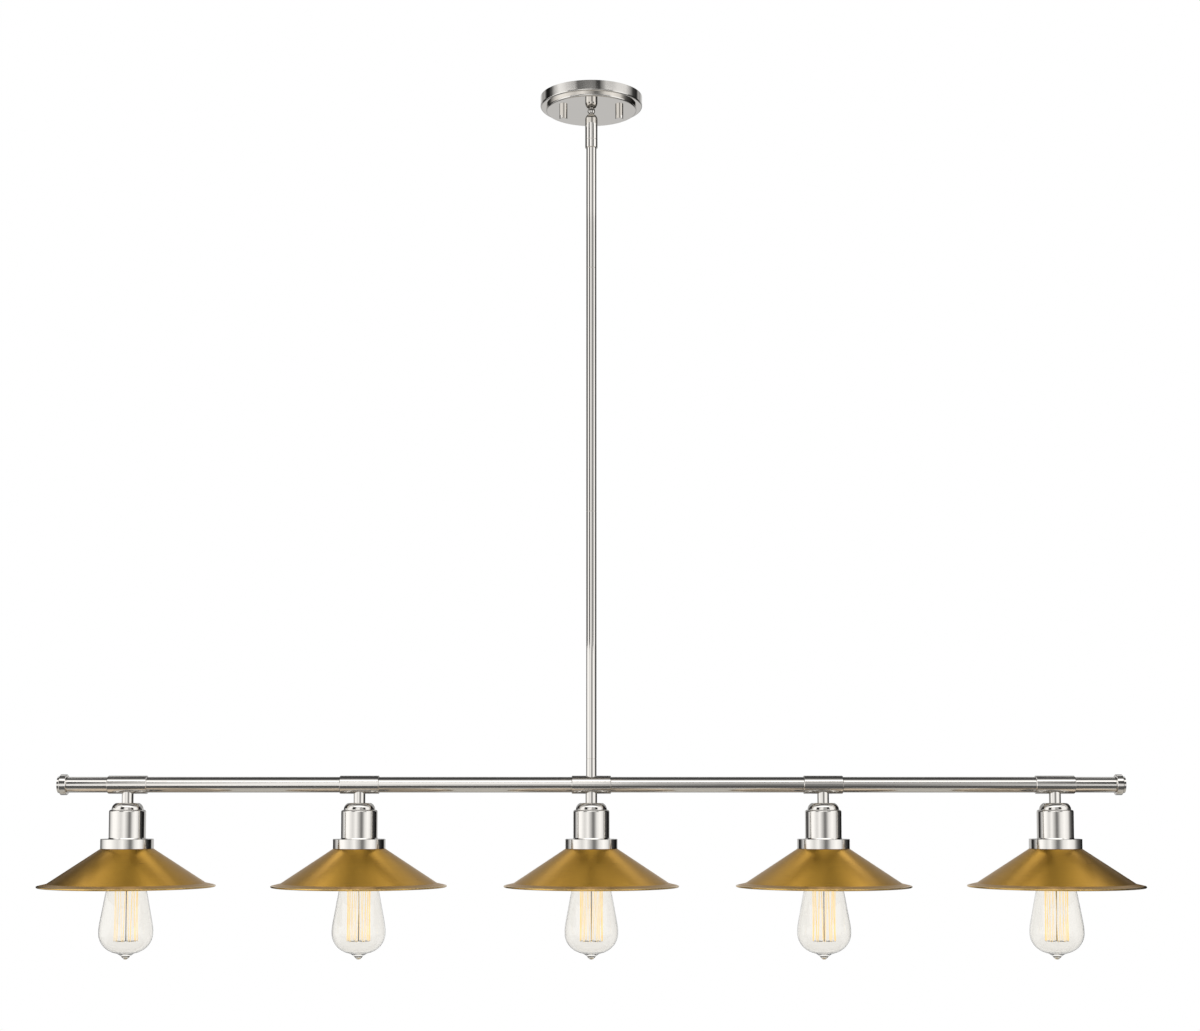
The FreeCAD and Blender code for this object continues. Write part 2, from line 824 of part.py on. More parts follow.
def make_end_tubes():
    body = new_body("end_tubes", height=-bar_depth)
    start = LAMPS_EACH_SIDE * size.lamp_pitch + tube_start
    end = cap_place + size.cap_socket_depth - size.seat_gap
    inner, outer = tube_bore_radius, size.tube_radius
    revolve(body, [(start, inner), (end, inner), (end, outer), (start, outer)], axis="H_Axis")
    mirror(body, "YZ_Plane")


def make_end_caps():
    body = new_body("end_caps", height=-bar_depth)
    flange, dome, edge = size.cap_radius, size.cap_dome_radius, size.edge_break * 2
    bottom = cap_place + size.cap_socket_depth
    face = cap_place + size.cap_flange_length
    spring = face + size.cap_dome_side
    rise = size.cap_dome_rise
    bend = (dome * dome + rise * rise) / (rise * 2)
    revolve(body, [
        (bottom, 0),
        (bottom, tube_socket_radius),
        (cap_place, tube_socket_radius),
        (cap_place, flange - edge),
        (cap_place + edge, flange),
        (face - edge, flange),
        (face, flange - edge),
        (face, dome),
        (spring, dome, -bend),
        (spring + rise, 0),
    ], axis="H_Axis")
    mirror(body, "YZ_Plane")


# ---------------------------------------------------------------- lamp hardware, five of each

def lamp_row(name, drop=0):
    """A body that starts at the first lamp, this far below the bar's axis."""
    return new_body(name, across=first_lamp, height=-(bar_depth + drop))


def repeat_for_lamps(body):
    repeat_along_bar(body, LAMPS, size.lamp_pitch)


def make_lamp_necks():
    body = lamp_row("lamp_necks")
    revolve(body, ring_corners(nipple_hole_radius, size.neck_tube_radius, -cup_depth, 0))
    saddle = draw(body, "YZ_Plane", circles=[(0, 0, size.sleeve_radius + size.seat_gap)])
    pocket(body, saddle, size.sleeve_length, both_ways=True)
    repeat_for_lamps(body)


def make_lamp_nipples():
    """From the bar's wireway down through the neck and the cup into the lampholder's cap."""
    body = lamp_row("lamp_nipples")
    low = -(holder_depth + size.holder_cap_plate)
    high = -size.wireway_radius
    revolve(body, ring_corners(size.nipple_bore_radius, size.nipple_radius, low, high))
    repeat_for_lamps(body)


def make_lamp_cups():
    body = lamp_row("lamp_cups", cup_depth)
    wall, hole = size.cup_wall, nipple_hole_radius
    top, tier, outer = size.cup_top_radius, size.cup_tier_radius, size.cup_radius
    tier_low = -size.cup_tier_height
    step_low = tier_low - size.cup_step_height
    low = -size.cup_height
    width = tier - top
    bend = (width * width + size.cup_tier_height * size.cup_tier_height) / (width * 2)
    step_width = outer - tier
    step_bend = (
        step_width * step_width + size.cup_step_height * size.cup_step_height
    ) / (step_width * 2)
    lip = outer + size.cup_lip
    revolve(body, [
        (hole, 0),
        (top, 0, -bend),
        (tier, tier_low, -step_bend),
        (outer, step_low),
        (outer, low + size.cup_lip_height),
        (lip, low),
        (lip - wall, low),
        (outer - wall, low + size.cup_lip_height),
        (outer - wall, step_low),
        (tier - wall, tier_low - wall),
        (tier - wall, tier_low, bend - wall),
        (top, -wall),
        (hole, -wall),
    ])
    repeat_for_lamps(body)


def make_shade_collars():
    body = lamp_row("shade_collars", collar_depth)
    wall, outer, edge = size.collar_wall, size.collar_radius, size.edge_break
    low = -size.collar_height
    revolve(body, [
        (holder_hole_radius, 0),
        (outer - edge, 0),
        (outer, -edge),
        (outer, low),
        (outer - wall, low),
        (outer - wall, -wall),
        (holder_hole_radius, -wall),
    ])
    repeat_for_lamps(body)


def make_shade_rings():
    body = lamp_row("shade_rings", ring_depth)
    low = -size.ring_height
    revolve(body, ring_corners(holder_hole_radius, size.ring_radius, low, 0, size.edge_break))
    repeat_for_lamps(body)


def make_socket_bodies():
    """The moulded holder: a cap on the nipple, a wire space, a plate and the screw well."""
    body = lamp_row("socket_bodies", holder_depth)
    outer, well = size.holder_radius, holder_bore_radius
    plate_top = holder_depth - plate_top_depth
    plate_low = plate_top - size.holder_plate
    mouth = holder_depth - holder_mouth_depth
    space = outer - size.holder_wall
    rivet = size.rivet_radius + size.thread_gap
    revolve(body, [
        (nipple_hole_radius, 0),
        (nipple_hole_radius, -size.holder_cap_plate),
        (size.holder_cap_radius - size.holder_wall, -size.holder_cap_plate),
        (space, -(size.holder_cap_plate + size.holder_cap_slope)),
        (space, plate_top),
        (rivet, plate_top),
        (rivet, plate_low),
        (well, plate_low),
        (well, mouth),
        (outer, mouth),
        (outer, -size.holder_cap_slope),
        (size.holder_cap_radius, 0),
    ])
    repeat_for_lamps(body)


def make_socket_shells():
    """The threaded brass lining of the screw well, half a pitch out of step with the bulb."""
    body = lamp_row("socket_shells", tip_depth)
    top = tip_depth - well_top_depth - size.seat_gap
    low = top - size.shell_length
    revolve(body, ring_corners(shell_valley_radius, shell_outer_radius, low, top))
    start = size.thread_pitch / 2 - size.base_thread_end
    helical_ridge(body, shell_valley_radius + size.shell_wall / 2, shell_crest_radius,
                  start, size.shell_turns)
    repeat_for_lamps(body)


def make_socket_contacts():
    """The centre contact, riveted through the holder's plate."""
    body = lamp_row("socket_contacts", plate_top_depth)
    plate = -size.holder_plate
    head = size.rivet_radius * 2
    low = plate - size.contact_height
    flange = low + size.contact_height / 3
    revolve(body, [
        (0, low), (size.contact_radius, low), (size.contact_radius, flange),
        (head, plate), (size.rivet_radius, plate), (size.rivet_radius, size.rivet_radius),
        (0, size.rivet_radius),
    ])
    repeat_for_lamps(body)


# ---------------------------------------------------------------- wires in the tubes

def lead_pair(body, low, high):
    """Two upright wires side by side, from one height to another."""
    sketch = draw(body, "XY_Plane", circles=[
        (0, lead_offset, size.lead_radius), (0, -lead_offset, size.lead_radius),
    ], level=low)
    pad(body, sketch, high - low)


def make_stem_leads():
    body = new_body("stem_leads", height=-bar_depth)
    low = size.splice_radius + size.seat_gap - size.bar_lead_drop
    high = bar_depth - seam_depth + size.swivel_spigot
    lead_pair(body, low, high)


def make_lamp_leads():
    body = lamp_row("lamp_leads")
    low = size.seat_gap - plate_top_depth
    high = -(size.bar_lead_drop + size.splice_radius + size.seat_gap)
    lead_pair(body, low, high)
    repeat_for_lamps(body)


def make_bar_leads():
    body = new_body("bar_leads", across=first_lamp, height=-bar_depth)
    length = (LAMPS - 1) * size.lamp_pitch
    sketch = draw(body, "YZ_Plane", circles=[
        (lead_offset, -size.bar_lead_drop, size.lead_radius),
        (-lead_offset, -size.bar_lead_drop, size.lead_radius),
    ])
    pad(body, sketch, length)


def make_lead_splices():
    """Crimped sleeves that join each lamp's wires to the pair along the bar."""
    body = lamp_row("lead_splices")
    drop = -size.bar_lead_drop
    bore = size.lead_radius + size.thread_gap
    half = size.splice_length / 2
    sketch = draw(body, "YZ_Plane", circles=[
        (lead_offset, drop, size.splice_radius), (lead_offset, drop, bore),
        (-lead_offset, drop, size.splice_radius), (-lead_offset, drop, bore),
    ], level=-half)
    pad(body, sketch, size.splice_length)
    repeat_for_lamps(body)


# ---------------------------------------------------------------- shades and bulbs, one by one

def make_shade(number, place):
    body = new_body(f"shade_{number}", across=place, height=-(bar_depth + shade_depth))
    wall, bead = size.shade_wall, size.shade_bead_radius
    cone, cone_low = size.shade_cone_radius, -size.shade_cone_height
    bead_x = size.shade_radius - bead
    bead_z = cone_low - size.shade_lip_drop - bead
    revolve(body, [
        (holder_hole_radius, 0),
        (size.shade_top_radius, 0),
        (cone, cone_low),
        (bead_x, bead_z + bead, -bead),
        (bead_x + bead, bead_z, -bead),
        (bead_x, bead_z - bead, -bead),
        (bead_x - bead, bead_z),
        (cone, cone_low - wall),
        (size.shade_top_radius - wall / 2, -wall),
        (holder_hole_radius, -wall),
    ])


def make_bulb_tip(number, place):
    body = new_body(f"bulb_tip_{number}", across=place, height=-(bar_depth + tip_depth))
    radius, low = size.tip_radius, -size.tip_height
    stem = size.rivet_radius
    revolve(body, [
        (0, low - size.insulator_height),
        (stem, low - size.insulator_height),
        (stem, low),
        (radius, low),
        (radius, low / 2),
        (radius / 2, 0),
        (0, 0),
    ])


def make_bulb_base(number, place):
    """Glass insulator and threaded brass shell."""
    body = new_body(f"bulb_base_{number}", across=place, height=-(bar_depth + tip_depth))
    hole = size.rivet_radius + size.thread_gap
    core, rim = size.base_core_radius, size.base_rim_radius
    bore = core - size.base_wall
    top = -size.tip_height
    shell_top = top - size.insulator_height
    shoulder = shell_top - (core - size.insulator_radius)
    low = -size.base_length
    rim_top = low + size.base_rim_height
    revolve(body, [
        (hole, top),
        (size.tip_radius, top),
        (size.insulator_radius, shell_top),
        (core, shoulder),
        (core, rim_top + (rim - core)),
        (rim, rim_top),
        (rim, low),
        (bore, low),
        (bore, shoulder - size.base_wall),
        (hole, shoulder - size.base_wall),
    ])
    helical_ridge(body, core - size.base_wall / 2, thread_crest_radius,
                  -size.base_thread_end, size.base_turns)


def glass_side(inset):
    """The bulb's side from neck to bottom, moved inwards by inset, and its middle's depth."""
    flare, belly = size.glass_flare_round, size.glass_belly_round
    steep_sine, steep_cosine = sine(size.glass_flare_angle), cosine(size.glass_flare_angle)
    cone_sine, cone_cosine = sine(size.glass_cone_angle), cosine(size.glass_cone_angle)
    neck, neck_low = size.glass_neck_radius, size.base_length + size.glass_neck_length
    # the side turns out of the neck about one centre, and back into the cone about another
    outer_centre = neck + flare
    inner_centre = outer_centre - flare * 2 * steep_cosine
    inner_centre_depth = neck_low + flare * 2 * steep_sine
    # the cone touches the belly's arc, which sets how deep the widest place lies
    belly_centre = size.glass_radius - belly
    reach = (belly_centre - inner_centre) * cone_cosine + belly - flare
    middle = inner_centre_depth + reach / cone_sine
    # the bottom is a tight arc that runs into a wide one across the axis
    tight, depth = size.glass_bottom_round, size.glass_bottom_depth
    tight_centre = size.glass_radius - tight
    wide = (
        tight_centre * tight_centre + depth * depth - tight * tight
    ) / ((depth - tight) * 2)
    join_across = tight_centre / (wide - tight)
    join_down = (wide - depth) / (wide - tight)
    side = [
        (neck - inset, -neck_low, flare + inset),
        (
            outer_centre - (flare + inset) * steep_cosine,
            -(neck_low + (flare + inset) * steep_sine),
            inset - flare,
        ),
        (
            inner_centre + (flare - inset) * cone_cosine,
            (flare - inset) * cone_sine - inner_centre_depth,
        ),
        (
            belly_centre + (belly - inset) * cone_cosine,
            (belly - inset) * cone_sine - middle,
            inset - belly,
        ),
        (size.glass_radius - inset, -middle, inset - tight),
        (
            tight_centre + (tight - inset) * join_across,
            -(middle + (tight - inset) * join_down),
            inset - wide,
        ),
    ]
    return side, middle, wide


def travelled_back(path):
    """The same open path from its end to its start."""
    back = []
    for index in range(len(path) - 1, -1, -1):
        across, height = path[index][:2]
        before = path[index - 1] if index else ()
        if len(before) > 2:
            back.append((across, height, -before[2]))
        else:
            back.append((across, height))
    return back


def make_bulb_glass(number, place):
    """A blown glass shell, open where it is cemented into the base, with a pip below."""
    body = new_body(f"bulb_glass_{number}", across=place, height=-(bar_depth + tip_depth))
    wall = size.glass_wall
    insert = size.base_core_radius - size.base_wall - size.loose_gap
    insert_top = size.glass_insert - size.base_length
    shoulder = -(size.base_length + size.loose_gap)
    outside, middle, wide = glass_side(as_size(0))
    inside, _, _ = glass_side(wall)
    bottom = -(middle + size.glass_bottom_depth)
    pip_root = bottom + wide - other_side(wide, size.pip_radius)
    pip_waist = pip_root - size.pip_waist_height
    tip = bottom - size.pip_height
    pip_rise = pip_waist - tip
    pip_tip = size.pip_tip_radius
    pip_bend = (pip_tip * pip_tip + pip_rise * pip_rise) / (pip_rise * 2)
    revolve(body, [
        (insert, insert_top),
        (insert, shoulder),
        (size.glass_neck_radius, shoulder),
        *outside,
        (size.pip_radius, pip_root, size.pip_waist_round),
        (pip_tip, pip_waist, -pip_bend),
        (0, tip),
        *travelled_back([*inside, (0, bottom + wall)]),
        (size.glass_neck_radius - wall, shoulder - wall),
        (insert - wall, shoulder - wall),
        (insert - wall, insert_top),
    ])


def make_bulb_filament(number, place):
    """The glass stem in the neck, its centre wire, and the cage of strands around it."""
    body = new_body(f"bulb_filament_{number}", across=place, height=-(bar_depth + tip_depth))
    foot, stem, wire = size.stem_foot_radius, size.stem_glass_radius, size.stem_wire_radius
    foot_top = size.glass_insert - size.base_length - size.loose_gap
    cage_top, cage_low = -size.cage_top, -(size.cage_top + size.cage_height)
    revolve(body, [
        (0, foot_top),
        (foot, foot_top),
        (foot, foot_top - size.glass_wall),
        (stem, foot_top - foot),
        (stem, cage_top - stem),
        (wire, cage_top - stem * 2),
        (wire, cage_low - wire),
        (0, cage_low - wire),
    ])
    strand = size.cage_strand_radius
    upright = draw(body, "XY_Plane", circles=[(size.cage_radius, 0, strand)], level=cage_low)
    parts = [pad(body, upright, size.cage_height)]
    for height in (cage_top, cage_low):
        arm = draw(body, "YZ_Plane", circles=[(0, height, strand)])
        parts.append(pad(body, arm, size.cage_radius))
    cage = body.newObject("PartDesign::PolarPattern", "Cage")
    cage.Originals = parts
    cage.Axis = (origin_feature(body, "Z_Axis"), [""])
    cage.Angle = 360
    cage.Occurrences = CAGE_STRANDS
    body.Tip = cage


for make in (
    make_canopy, make_mounting_bracket, make_mounting_studs, make_bracket_nuts,
    make_canopy_knobs, make_ground_screw, make_ball_stud_nut, make_canopy_leads,
    make_wire_nuts, make_ball_stud, make_swivel_seat, make_swivel_cup, make_swivel_collar,
    make_rods, make_rod_nipples, make_stem_foot, make_stem_leads,
    make_centre_sleeve, make_lamp_sleeves, make_bar_tubes, make_end_tubes, make_end_caps,
    make_bar_leads, make_lead_splices, make_lamp_leads,
    make_lamp_necks, make_lamp_nipples, make_lamp_cups, make_shade_collars,
    make_socket_bodies, make_socket_shells, make_socket_contacts, make_shade_rings,
):
    make()

for lamp in range(LAMPS):
    place = (lamp - LAMPS_EACH_SIDE) * size.lamp_pitch
    for make in (make_shade, make_bulb_tip, make_bulb_base, make_bulb_glass, make_bulb_filament):
        make(lamp + 1, place)

doc.recompute()

faults = [item.Label for item in doc.Objects if {"Invalid", "Error"} & set(item.State)]
for node in nodes:
    if node.Shape.isNull() or not node.Shape.isValid() or not node.Shape.Solids:
        faults.append(node.Label)
if faults:
    raise RuntimeError(f"these did not build: {faults}")

os.makedirs("parts", exist_ok=True)
for node in nodes:
    node.Shape.exportStep(f"parts/{node.Label}.step")
    box = node.Shape.BoundBox
    print(
        f"{node.Label}: {len(node.Shape.Solids)} solids, {node.Shape.Volume:.0f} mm3, "
        f"z {box.ZMin:.1f} to {box.ZMax:.1f}"
    )
print(f"{len(nodes)} nodes")
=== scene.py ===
# %% [markdown]
# # A linear island pendant
#
# The lamp hangs from the ceiling: a round canopy, a ball swivel, a stem of screwed rods and a
# straight bar with five shaded bulbs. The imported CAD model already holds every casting, tube
# and thread in its true size, so this notebook keeps those meshes and gives them their looks.
# Only what the solids leave plain, such as the bulbs' filaments, is modelled here.

# %% Load the frame
import math

import bmesh
import bpy
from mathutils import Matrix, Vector


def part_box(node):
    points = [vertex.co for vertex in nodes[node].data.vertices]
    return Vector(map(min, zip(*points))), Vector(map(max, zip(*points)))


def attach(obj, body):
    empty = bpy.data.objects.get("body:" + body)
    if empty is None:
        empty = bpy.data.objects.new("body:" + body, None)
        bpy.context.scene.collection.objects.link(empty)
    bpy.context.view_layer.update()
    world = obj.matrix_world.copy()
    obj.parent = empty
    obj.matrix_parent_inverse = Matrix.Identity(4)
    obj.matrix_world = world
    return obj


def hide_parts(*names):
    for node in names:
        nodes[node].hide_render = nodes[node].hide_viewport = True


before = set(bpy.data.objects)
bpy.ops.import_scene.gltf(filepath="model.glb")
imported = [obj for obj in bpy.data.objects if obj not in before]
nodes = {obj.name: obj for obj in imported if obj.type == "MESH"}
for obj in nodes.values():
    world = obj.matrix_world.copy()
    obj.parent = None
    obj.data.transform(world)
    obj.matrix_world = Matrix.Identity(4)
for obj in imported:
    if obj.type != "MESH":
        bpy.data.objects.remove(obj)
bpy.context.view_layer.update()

# %% [markdown]
# ## Places that later cells share
#
# The bar's height, the spacing of the lamps and the bulbs' place are read from the packed
# nodes' boxes rather than typed in, so every piece lands exactly where the solids are.

# %% Measure the frame
LAMPS = 5
lamp_numbers = range(1, LAMPS + 1)


def middle_of(node):
    """The centre of a node's box, in metres."""
    low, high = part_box(node)
    return (Vector(low) + Vector(high)) / 2


lamp_x = {number: middle_of(f"bulb_glass_{number}").x for number in lamp_numbers}
lamp_pitch = lamp_x[2] - lamp_x[1]
bar_z = middle_of("bar_tubes").z
print(f"lamps at {[round(x, 4) for x in lamp_x.values()]}, bar at z {bar_z:.4f}")

# %% [markdown]
# ## The camera
#
# The photograph is a product shot from the height of the bulbs, looking straight at the bar,
# with a tall frame above the horizon. A shifted lens alone would give exactly that frame. But
# a large shift also moves the lamp out of every other view, where the camera points at its
# middle. So the frame comes half from a shift and half from a tilt of a few degrees, which
# leaves the canopy about one per cent lower in the picture.

# %% Camera
CAMERA_PLACE = (0.0, -2.46, -0.87)
CAMERA_PITCH = 3.68
LENS_MM = 60.2
SENSOR_MM = 36.0
SHIFT_RIGHT = 0.0072
SHIFT_UP = 0.125

camera_data = bpy.data.cameras.new("camera")
camera_data.lens = LENS_MM
camera_data.sensor_width = SENSOR_MM
camera_data.shift_x = SHIFT_RIGHT
camera_data.shift_y = SHIFT_UP
camera = bpy.data.objects.new("camera", camera_data)
camera.location = CAMERA_PLACE
camera.rotation_euler = (math.radians(90 + CAMERA_PITCH), 0, 0)
bpy.context.scene.collection.objects.link(camera)
bpy.context.scene.camera = camera
bpy.context.scene.view_settings.view_transform = "Standard"
print(f"camera at {CAMERA_PLACE}, {LENS_MM} mm, tilted up by {CAMERA_PITCH} degrees")

# %% [markdown]
# ## A small kit for node trees
#
# Each material below is a handful of nodes. Blender's own calls for them are long, so a few
# short helpers keep the cells readable: one adds a node and sets its inputs, one makes a shader
# node group with named sockets, and one starts a material with a Principled shader in it. The
# others each place one kind of node that most materials need.

# %% Node helpers
FLOAT = "NodeSocketFloat"
MIX_FACTOR, MIX_FIRST, MIX_SECOND, MIX_RESULT = 0, 6, 7, 2


def add_node(tree, kind, inputs=None, **settings):
    """A new node, with its settings and with inputs given as values or as sockets."""
    node = tree.nodes.new(kind)
    for name, value in settings.items():
        setattr(node, name, value)
    for key, value in (inputs or {}).items():
        if isinstance(value, bpy.types.NodeSocket):
            tree.links.new(value, node.inputs[key])
        else:
            node.inputs[key].default_value = value
    return node


def math_node(tree, operation, *values, clamp=False):
    """The result socket of a Math node."""
    inputs = dict(enumerate(values))
    return add_node(tree, "ShaderNodeMath", inputs, operation=operation, use_clamp=clamp).outputs[0]


def noise(tree, vector, scale, detail=2.0, roughness=0.5):
    """The value of a noise texture along a vector."""
    inputs = {"Vector": vector, "Scale": scale, "Detail": detail, "Roughness": roughness}
    return add_node(tree, "ShaderNodeTexNoise", inputs).outputs[0]


def combine(tree, x, y, z):
    """A vector from three values."""
    return add_node(tree, "ShaderNodeCombineXYZ", {"X": x, "Y": y, "Z": z}).outputs[0]


def mix_colours(tree, factor, first, second):
    """A colour between two. A Mix node has sockets of one name, so they go by number."""
    inputs = {MIX_FACTOR: factor, MIX_FIRST: first, MIX_SECOND: second}
    return add_node(tree, "ShaderNodeMix", inputs, data_type="RGBA").outputs[MIX_RESULT]


print("helpers for single nodes ready")

# %% Group helpers
def new_group(name, inputs, outputs):
    """An empty node group with named sockets, and its input and output nodes."""
    tree = bpy.data.node_groups.new(name, "ShaderNodeTree")
    for label, kind, default in inputs:
        socket = tree.interface.new_socket(label, in_out="INPUT", socket_type=kind)
        if default is not None:
            socket.default_value = default
    for label, kind in outputs:
        tree.interface.new_socket(label, in_out="OUTPUT", socket_type=kind)
    return tree, tree.nodes.new("NodeGroupInput").outputs, tree.nodes.new("NodeGroupOutput").inputs


def place_group(tree, group, inputs=None):
    """A node group in a tree; returns its outputs."""
    node = tree.nodes.new("ShaderNodeGroup")
    node.node_tree = group
    for key, value in (inputs or {}).items():
        if isinstance(value, bpy.types.NodeSocket):
            tree.links.new(value, node.inputs[key])
        else:
            node.inputs[key].default_value = value
    return node.outputs


print("helpers for groups ready")

# %% Material helpers
def new_material(name, **constants):
    """A material with a Principled shader whose plain sockets are set directly."""
    material = bpy.data.materials.new(name)
    material.use_nodes = True
    tree = material.node_tree
    shader = tree.nodes["Principled BSDF"]
    for key, value in constants.items():
        shader.inputs[key.replace("_", " ")].default_value = value
    return material, tree, shader


def feed(tree, shader, **links):
    """Links sockets into the shader's inputs, named with underscores for spaces."""
    for key, socket in links.items():
        tree.links.new(socket, shader.inputs[key.replace("_", " ")])


def bump(tree, height, distance, strength=1.0):
    """A Bump node's normal from a height."""
    inputs = {"Height": height, "Distance": distance, "Strength": strength}
    return add_node(tree, "ShaderNodeBump", inputs).outputs[0]


def object_place(tree):
    """The point's own place on the object, which moves with the piece."""
    return add_node(tree, "ShaderNodeTexCoord").outputs["Object"]


def split(tree, vector):
    """A vector's X, Y and Z sockets."""
    return add_node(tree, "ShaderNodeSeparateXYZ", {"Vector": vector}).outputs


print("helpers for materials ready")

# %% [markdown]
# ## Where a point lies on a turned piece
#
# Cups, collars, shades and rods are spun or turned, so their marks run round an axis. This
# group gives a point's radius from the nearest lamp's axis, its angle round that axis and its
# height. The lamps stand at even steps, so wrapping X by the pitch serves all five at once.

# %% Group: turned_place
turned_place, given, result = new_group(
    "turned_place",
    [("Pitch", FLOAT, lamp_pitch)],
    [("Radius", FLOAT), ("Angle", FLOAT), ("Height", FLOAT)],
)
tree = turned_place
axes = split(tree, object_place(tree))
half_pitch = math_node(tree, "MULTIPLY", given["Pitch"], 0.5)
minus_half = math_node(tree, "MULTIPLY", given["Pitch"], -0.5)
wrapped = math_node(tree, "WRAP", axes["X"], half_pitch, minus_half)
flat_place = combine(tree, wrapped, axes["Y"], 0.0)
length = add_node(
    tree, "ShaderNodeVectorMath", {0: flat_place}, operation="LENGTH"
).outputs["Value"]
tree.links.new(length, result["Radius"])
tree.links.new(math_node(tree, "ARCTAN2", axes["Y"], wrapped), result["Angle"])
tree.links.new(axes["Z"], result["Height"])
print("group turned_place:", [item.name for item in result if item.name])

# %% [markdown]
# ## Brushing
#
# A brushed finish is thousands of hairline scratches in one direction. They are far longer
# than wide, so the group stretches one noise along the brushing and squeezes it across. Broader
# streaks lie under the fine lines. The group gives the fine lines' height for the bump, and both
# together as a tone for the colour and the roughness.

# %% Group: hairlines
CELLS_ALONG = 14.0

hairlines, given, result = new_group(
    "hairlines",
    [
        ("Along", FLOAT, 0.0), ("Across", FLOAT, 0.0), ("Depth", FLOAT, 0.0),
        ("Lines per metre", FLOAT, 2600.0), ("Streaks per metre", FLOAT, 260.0),
    ],
    [("Height", FLOAT), ("Tone", FLOAT)],
)
tree = hairlines
stretched = math_node(tree, "MULTIPLY", given["Along"], CELLS_ALONG)
fine_across = math_node(tree, "MULTIPLY", given["Across"], given["Lines per metre"])
fine_depth = math_node(tree, "MULTIPLY", given["Depth"], given["Lines per metre"])
wide_across = math_node(tree, "MULTIPLY", given["Across"], given["Streaks per metre"])
wide_depth = math_node(tree, "MULTIPLY", given["Depth"], given["Streaks per metre"])
fine = noise(tree, combine(tree, stretched, fine_across, fine_depth), 1.0, 3.0, 0.6)
wide = noise(tree, combine(tree, stretched, wide_across, wide_depth), 1.0, 2.0, 0.5)
tree.links.new(fine, result["Height"])
blend = math_node(tree, "MULTIPLY_ADD", wide, 0.5, math_node(tree, "MULTIPLY", fine, 0.5))
tree.links.new(blend, result["Tone"])
print(f"group hairlines ready, {CELLS_ALONG:.0f} cells per metre along the brushing")

# %% [markdown]
# ## Handling marks
#
# No polished metal is even all over: faint cloudy patches of lacquer and fingerprints change
# its gloss. A soft noise over the whole object does that, and it is kept so weak that it only
# shows where a reflection crosses it.

# %% Group: clouding
clouding, given, result = new_group(
    "clouding", [("Patches per metre", FLOAT, 22.0)], [("Cloud", FLOAT)]
)
tree = clouding
patches = noise(tree, object_place(tree), given["Patches per metre"], 3.0, 0.55)
tree.links.new(patches, result["Cloud"])
print("group clouding ready")

# %% [markdown]
# ## Brushed nickel
#
# The canopy, stem, bar and cups are satin nickel over steel. The same finish runs round the
# turned pieces and along the bar, so one function builds both, and only the direction of the
# hairlines differs. A turned piece that is brushed upright has flat faces too, such as the
# canopy's underside: there the lines run straight across. The colour is a warm silver, and the
# roughness and relief stay low enough for the long soft reflections that the photograph shows.

# %% Brushed nickel
NICKEL_LIGHT = (0.80, 0.775, 0.735, 1.0)
NICKEL_DARK = (0.75, 0.725, 0.69, 1.0)
BAR_RADIUS = 0.0095
CUP_ARC = 0.05
FLAT_FROM = 0.7


def brushed_nickel(name, direction, roughness, relief):
    """Satin nickel whose hairlines run 'around' the lamp's axis, 'upright' or along the 'bar'."""
    material, tree, shader = new_material(name, Metallic=1.0)
    where = place_group(tree, turned_place, {"Pitch": lamp_pitch})
    axes = split(tree, object_place(tree))
    if direction == "around":
        arc = math_node(tree, "MULTIPLY", where["Angle"], CUP_ARC)
        along, across, depth = arc, where["Height"], where["Radius"]
    elif direction == "upright":
        normal = add_node(tree, "ShaderNodeNewGeometry").outputs["True Normal"]
        facing = math_node(tree, "ABSOLUTE", split(tree, normal)["Z"])
        flat = math_node(tree, "GREATER_THAN", facing, FLAT_FROM)
        arc = math_node(tree, "MULTIPLY", where["Angle"], where["Radius"])
        sideways = math_node(tree, "SUBTRACT", axes["Y"], arc)
        along = math_node(tree, "MULTIPLY_ADD", axes["X"], flat, where["Height"])
        across, depth = math_node(tree, "MULTIPLY_ADD", sideways, flat, arc), 0.0
    else:
        turn = math_node(
            tree, "ARCTAN2", axes["Y"], math_node(tree, "SUBTRACT", axes["Z"], bar_z)
        )
        across = math_node(tree, "MULTIPLY", turn, BAR_RADIUS)
        along, depth = axes["X"], 0.0
    marks = place_group(tree, hairlines, {"Along": along, "Across": across, "Depth": depth})
    cloud = place_group(tree, clouding)
    colour = mix_colours(tree, marks["Tone"], NICKEL_DARK, NICKEL_LIGHT)
    gloss = math_node(tree, "MULTIPLY_ADD", marks["Tone"], roughness * 0.3, roughness * 0.7)
    gloss = math_node(tree, "MULTIPLY_ADD", cloud["Cloud"], roughness * 0.3, gloss, clamp=True)
    feed(tree, shader, Base_Color=colour, Roughness=gloss,
         Normal=bump(tree, marks["Height"], relief))
    return material


print(f"nickel between {NICKEL_DARK[:3]} and {NICKEL_LIGHT[:3]}")

# %% Nickel pieces
nickel = {
    "canopy": brushed_nickel("nickel_canopy", "upright", 0.05, relief=0.6e-6),
    "rod": brushed_nickel("nickel_rod", "upright", 0.05, relief=0.4e-6),
    "bar": brushed_nickel("nickel_bar", "bar", 0.12, relief=0.7e-6),
    "cup": brushed_nickel("nickel_cup", "around", 0.10, relief=3.0e-6),
}
NICKEL_PIECES = {
    "canopy": ["canopy"],
    "rod": [
        "canopy_knobs", "ball_stud", "swivel_cup", "swivel_collar",
        "rod_upper", "rod_middle", "rod_lower", "stem_foot", "lamp_necks",
    ],
    "bar": ["centre_sleeve", "lamp_sleeves", "bar_tubes", "end_tubes", "end_caps"],
    "cup": ["lamp_cups", "shade_collars"],
}


def dress(node_name, material):
    """Gives a CAD node one material on all of its slots."""
    piece = nodes[node_name]
    piece.data.materials.clear()
    piece.data.materials.append(material)


for finish, names in NICKEL_PIECES.items():
    for name in names:
        dress(name, nickel[finish])
print("nickel on", sum(len(names) for names in NICKEL_PIECES.values()), "nodes")

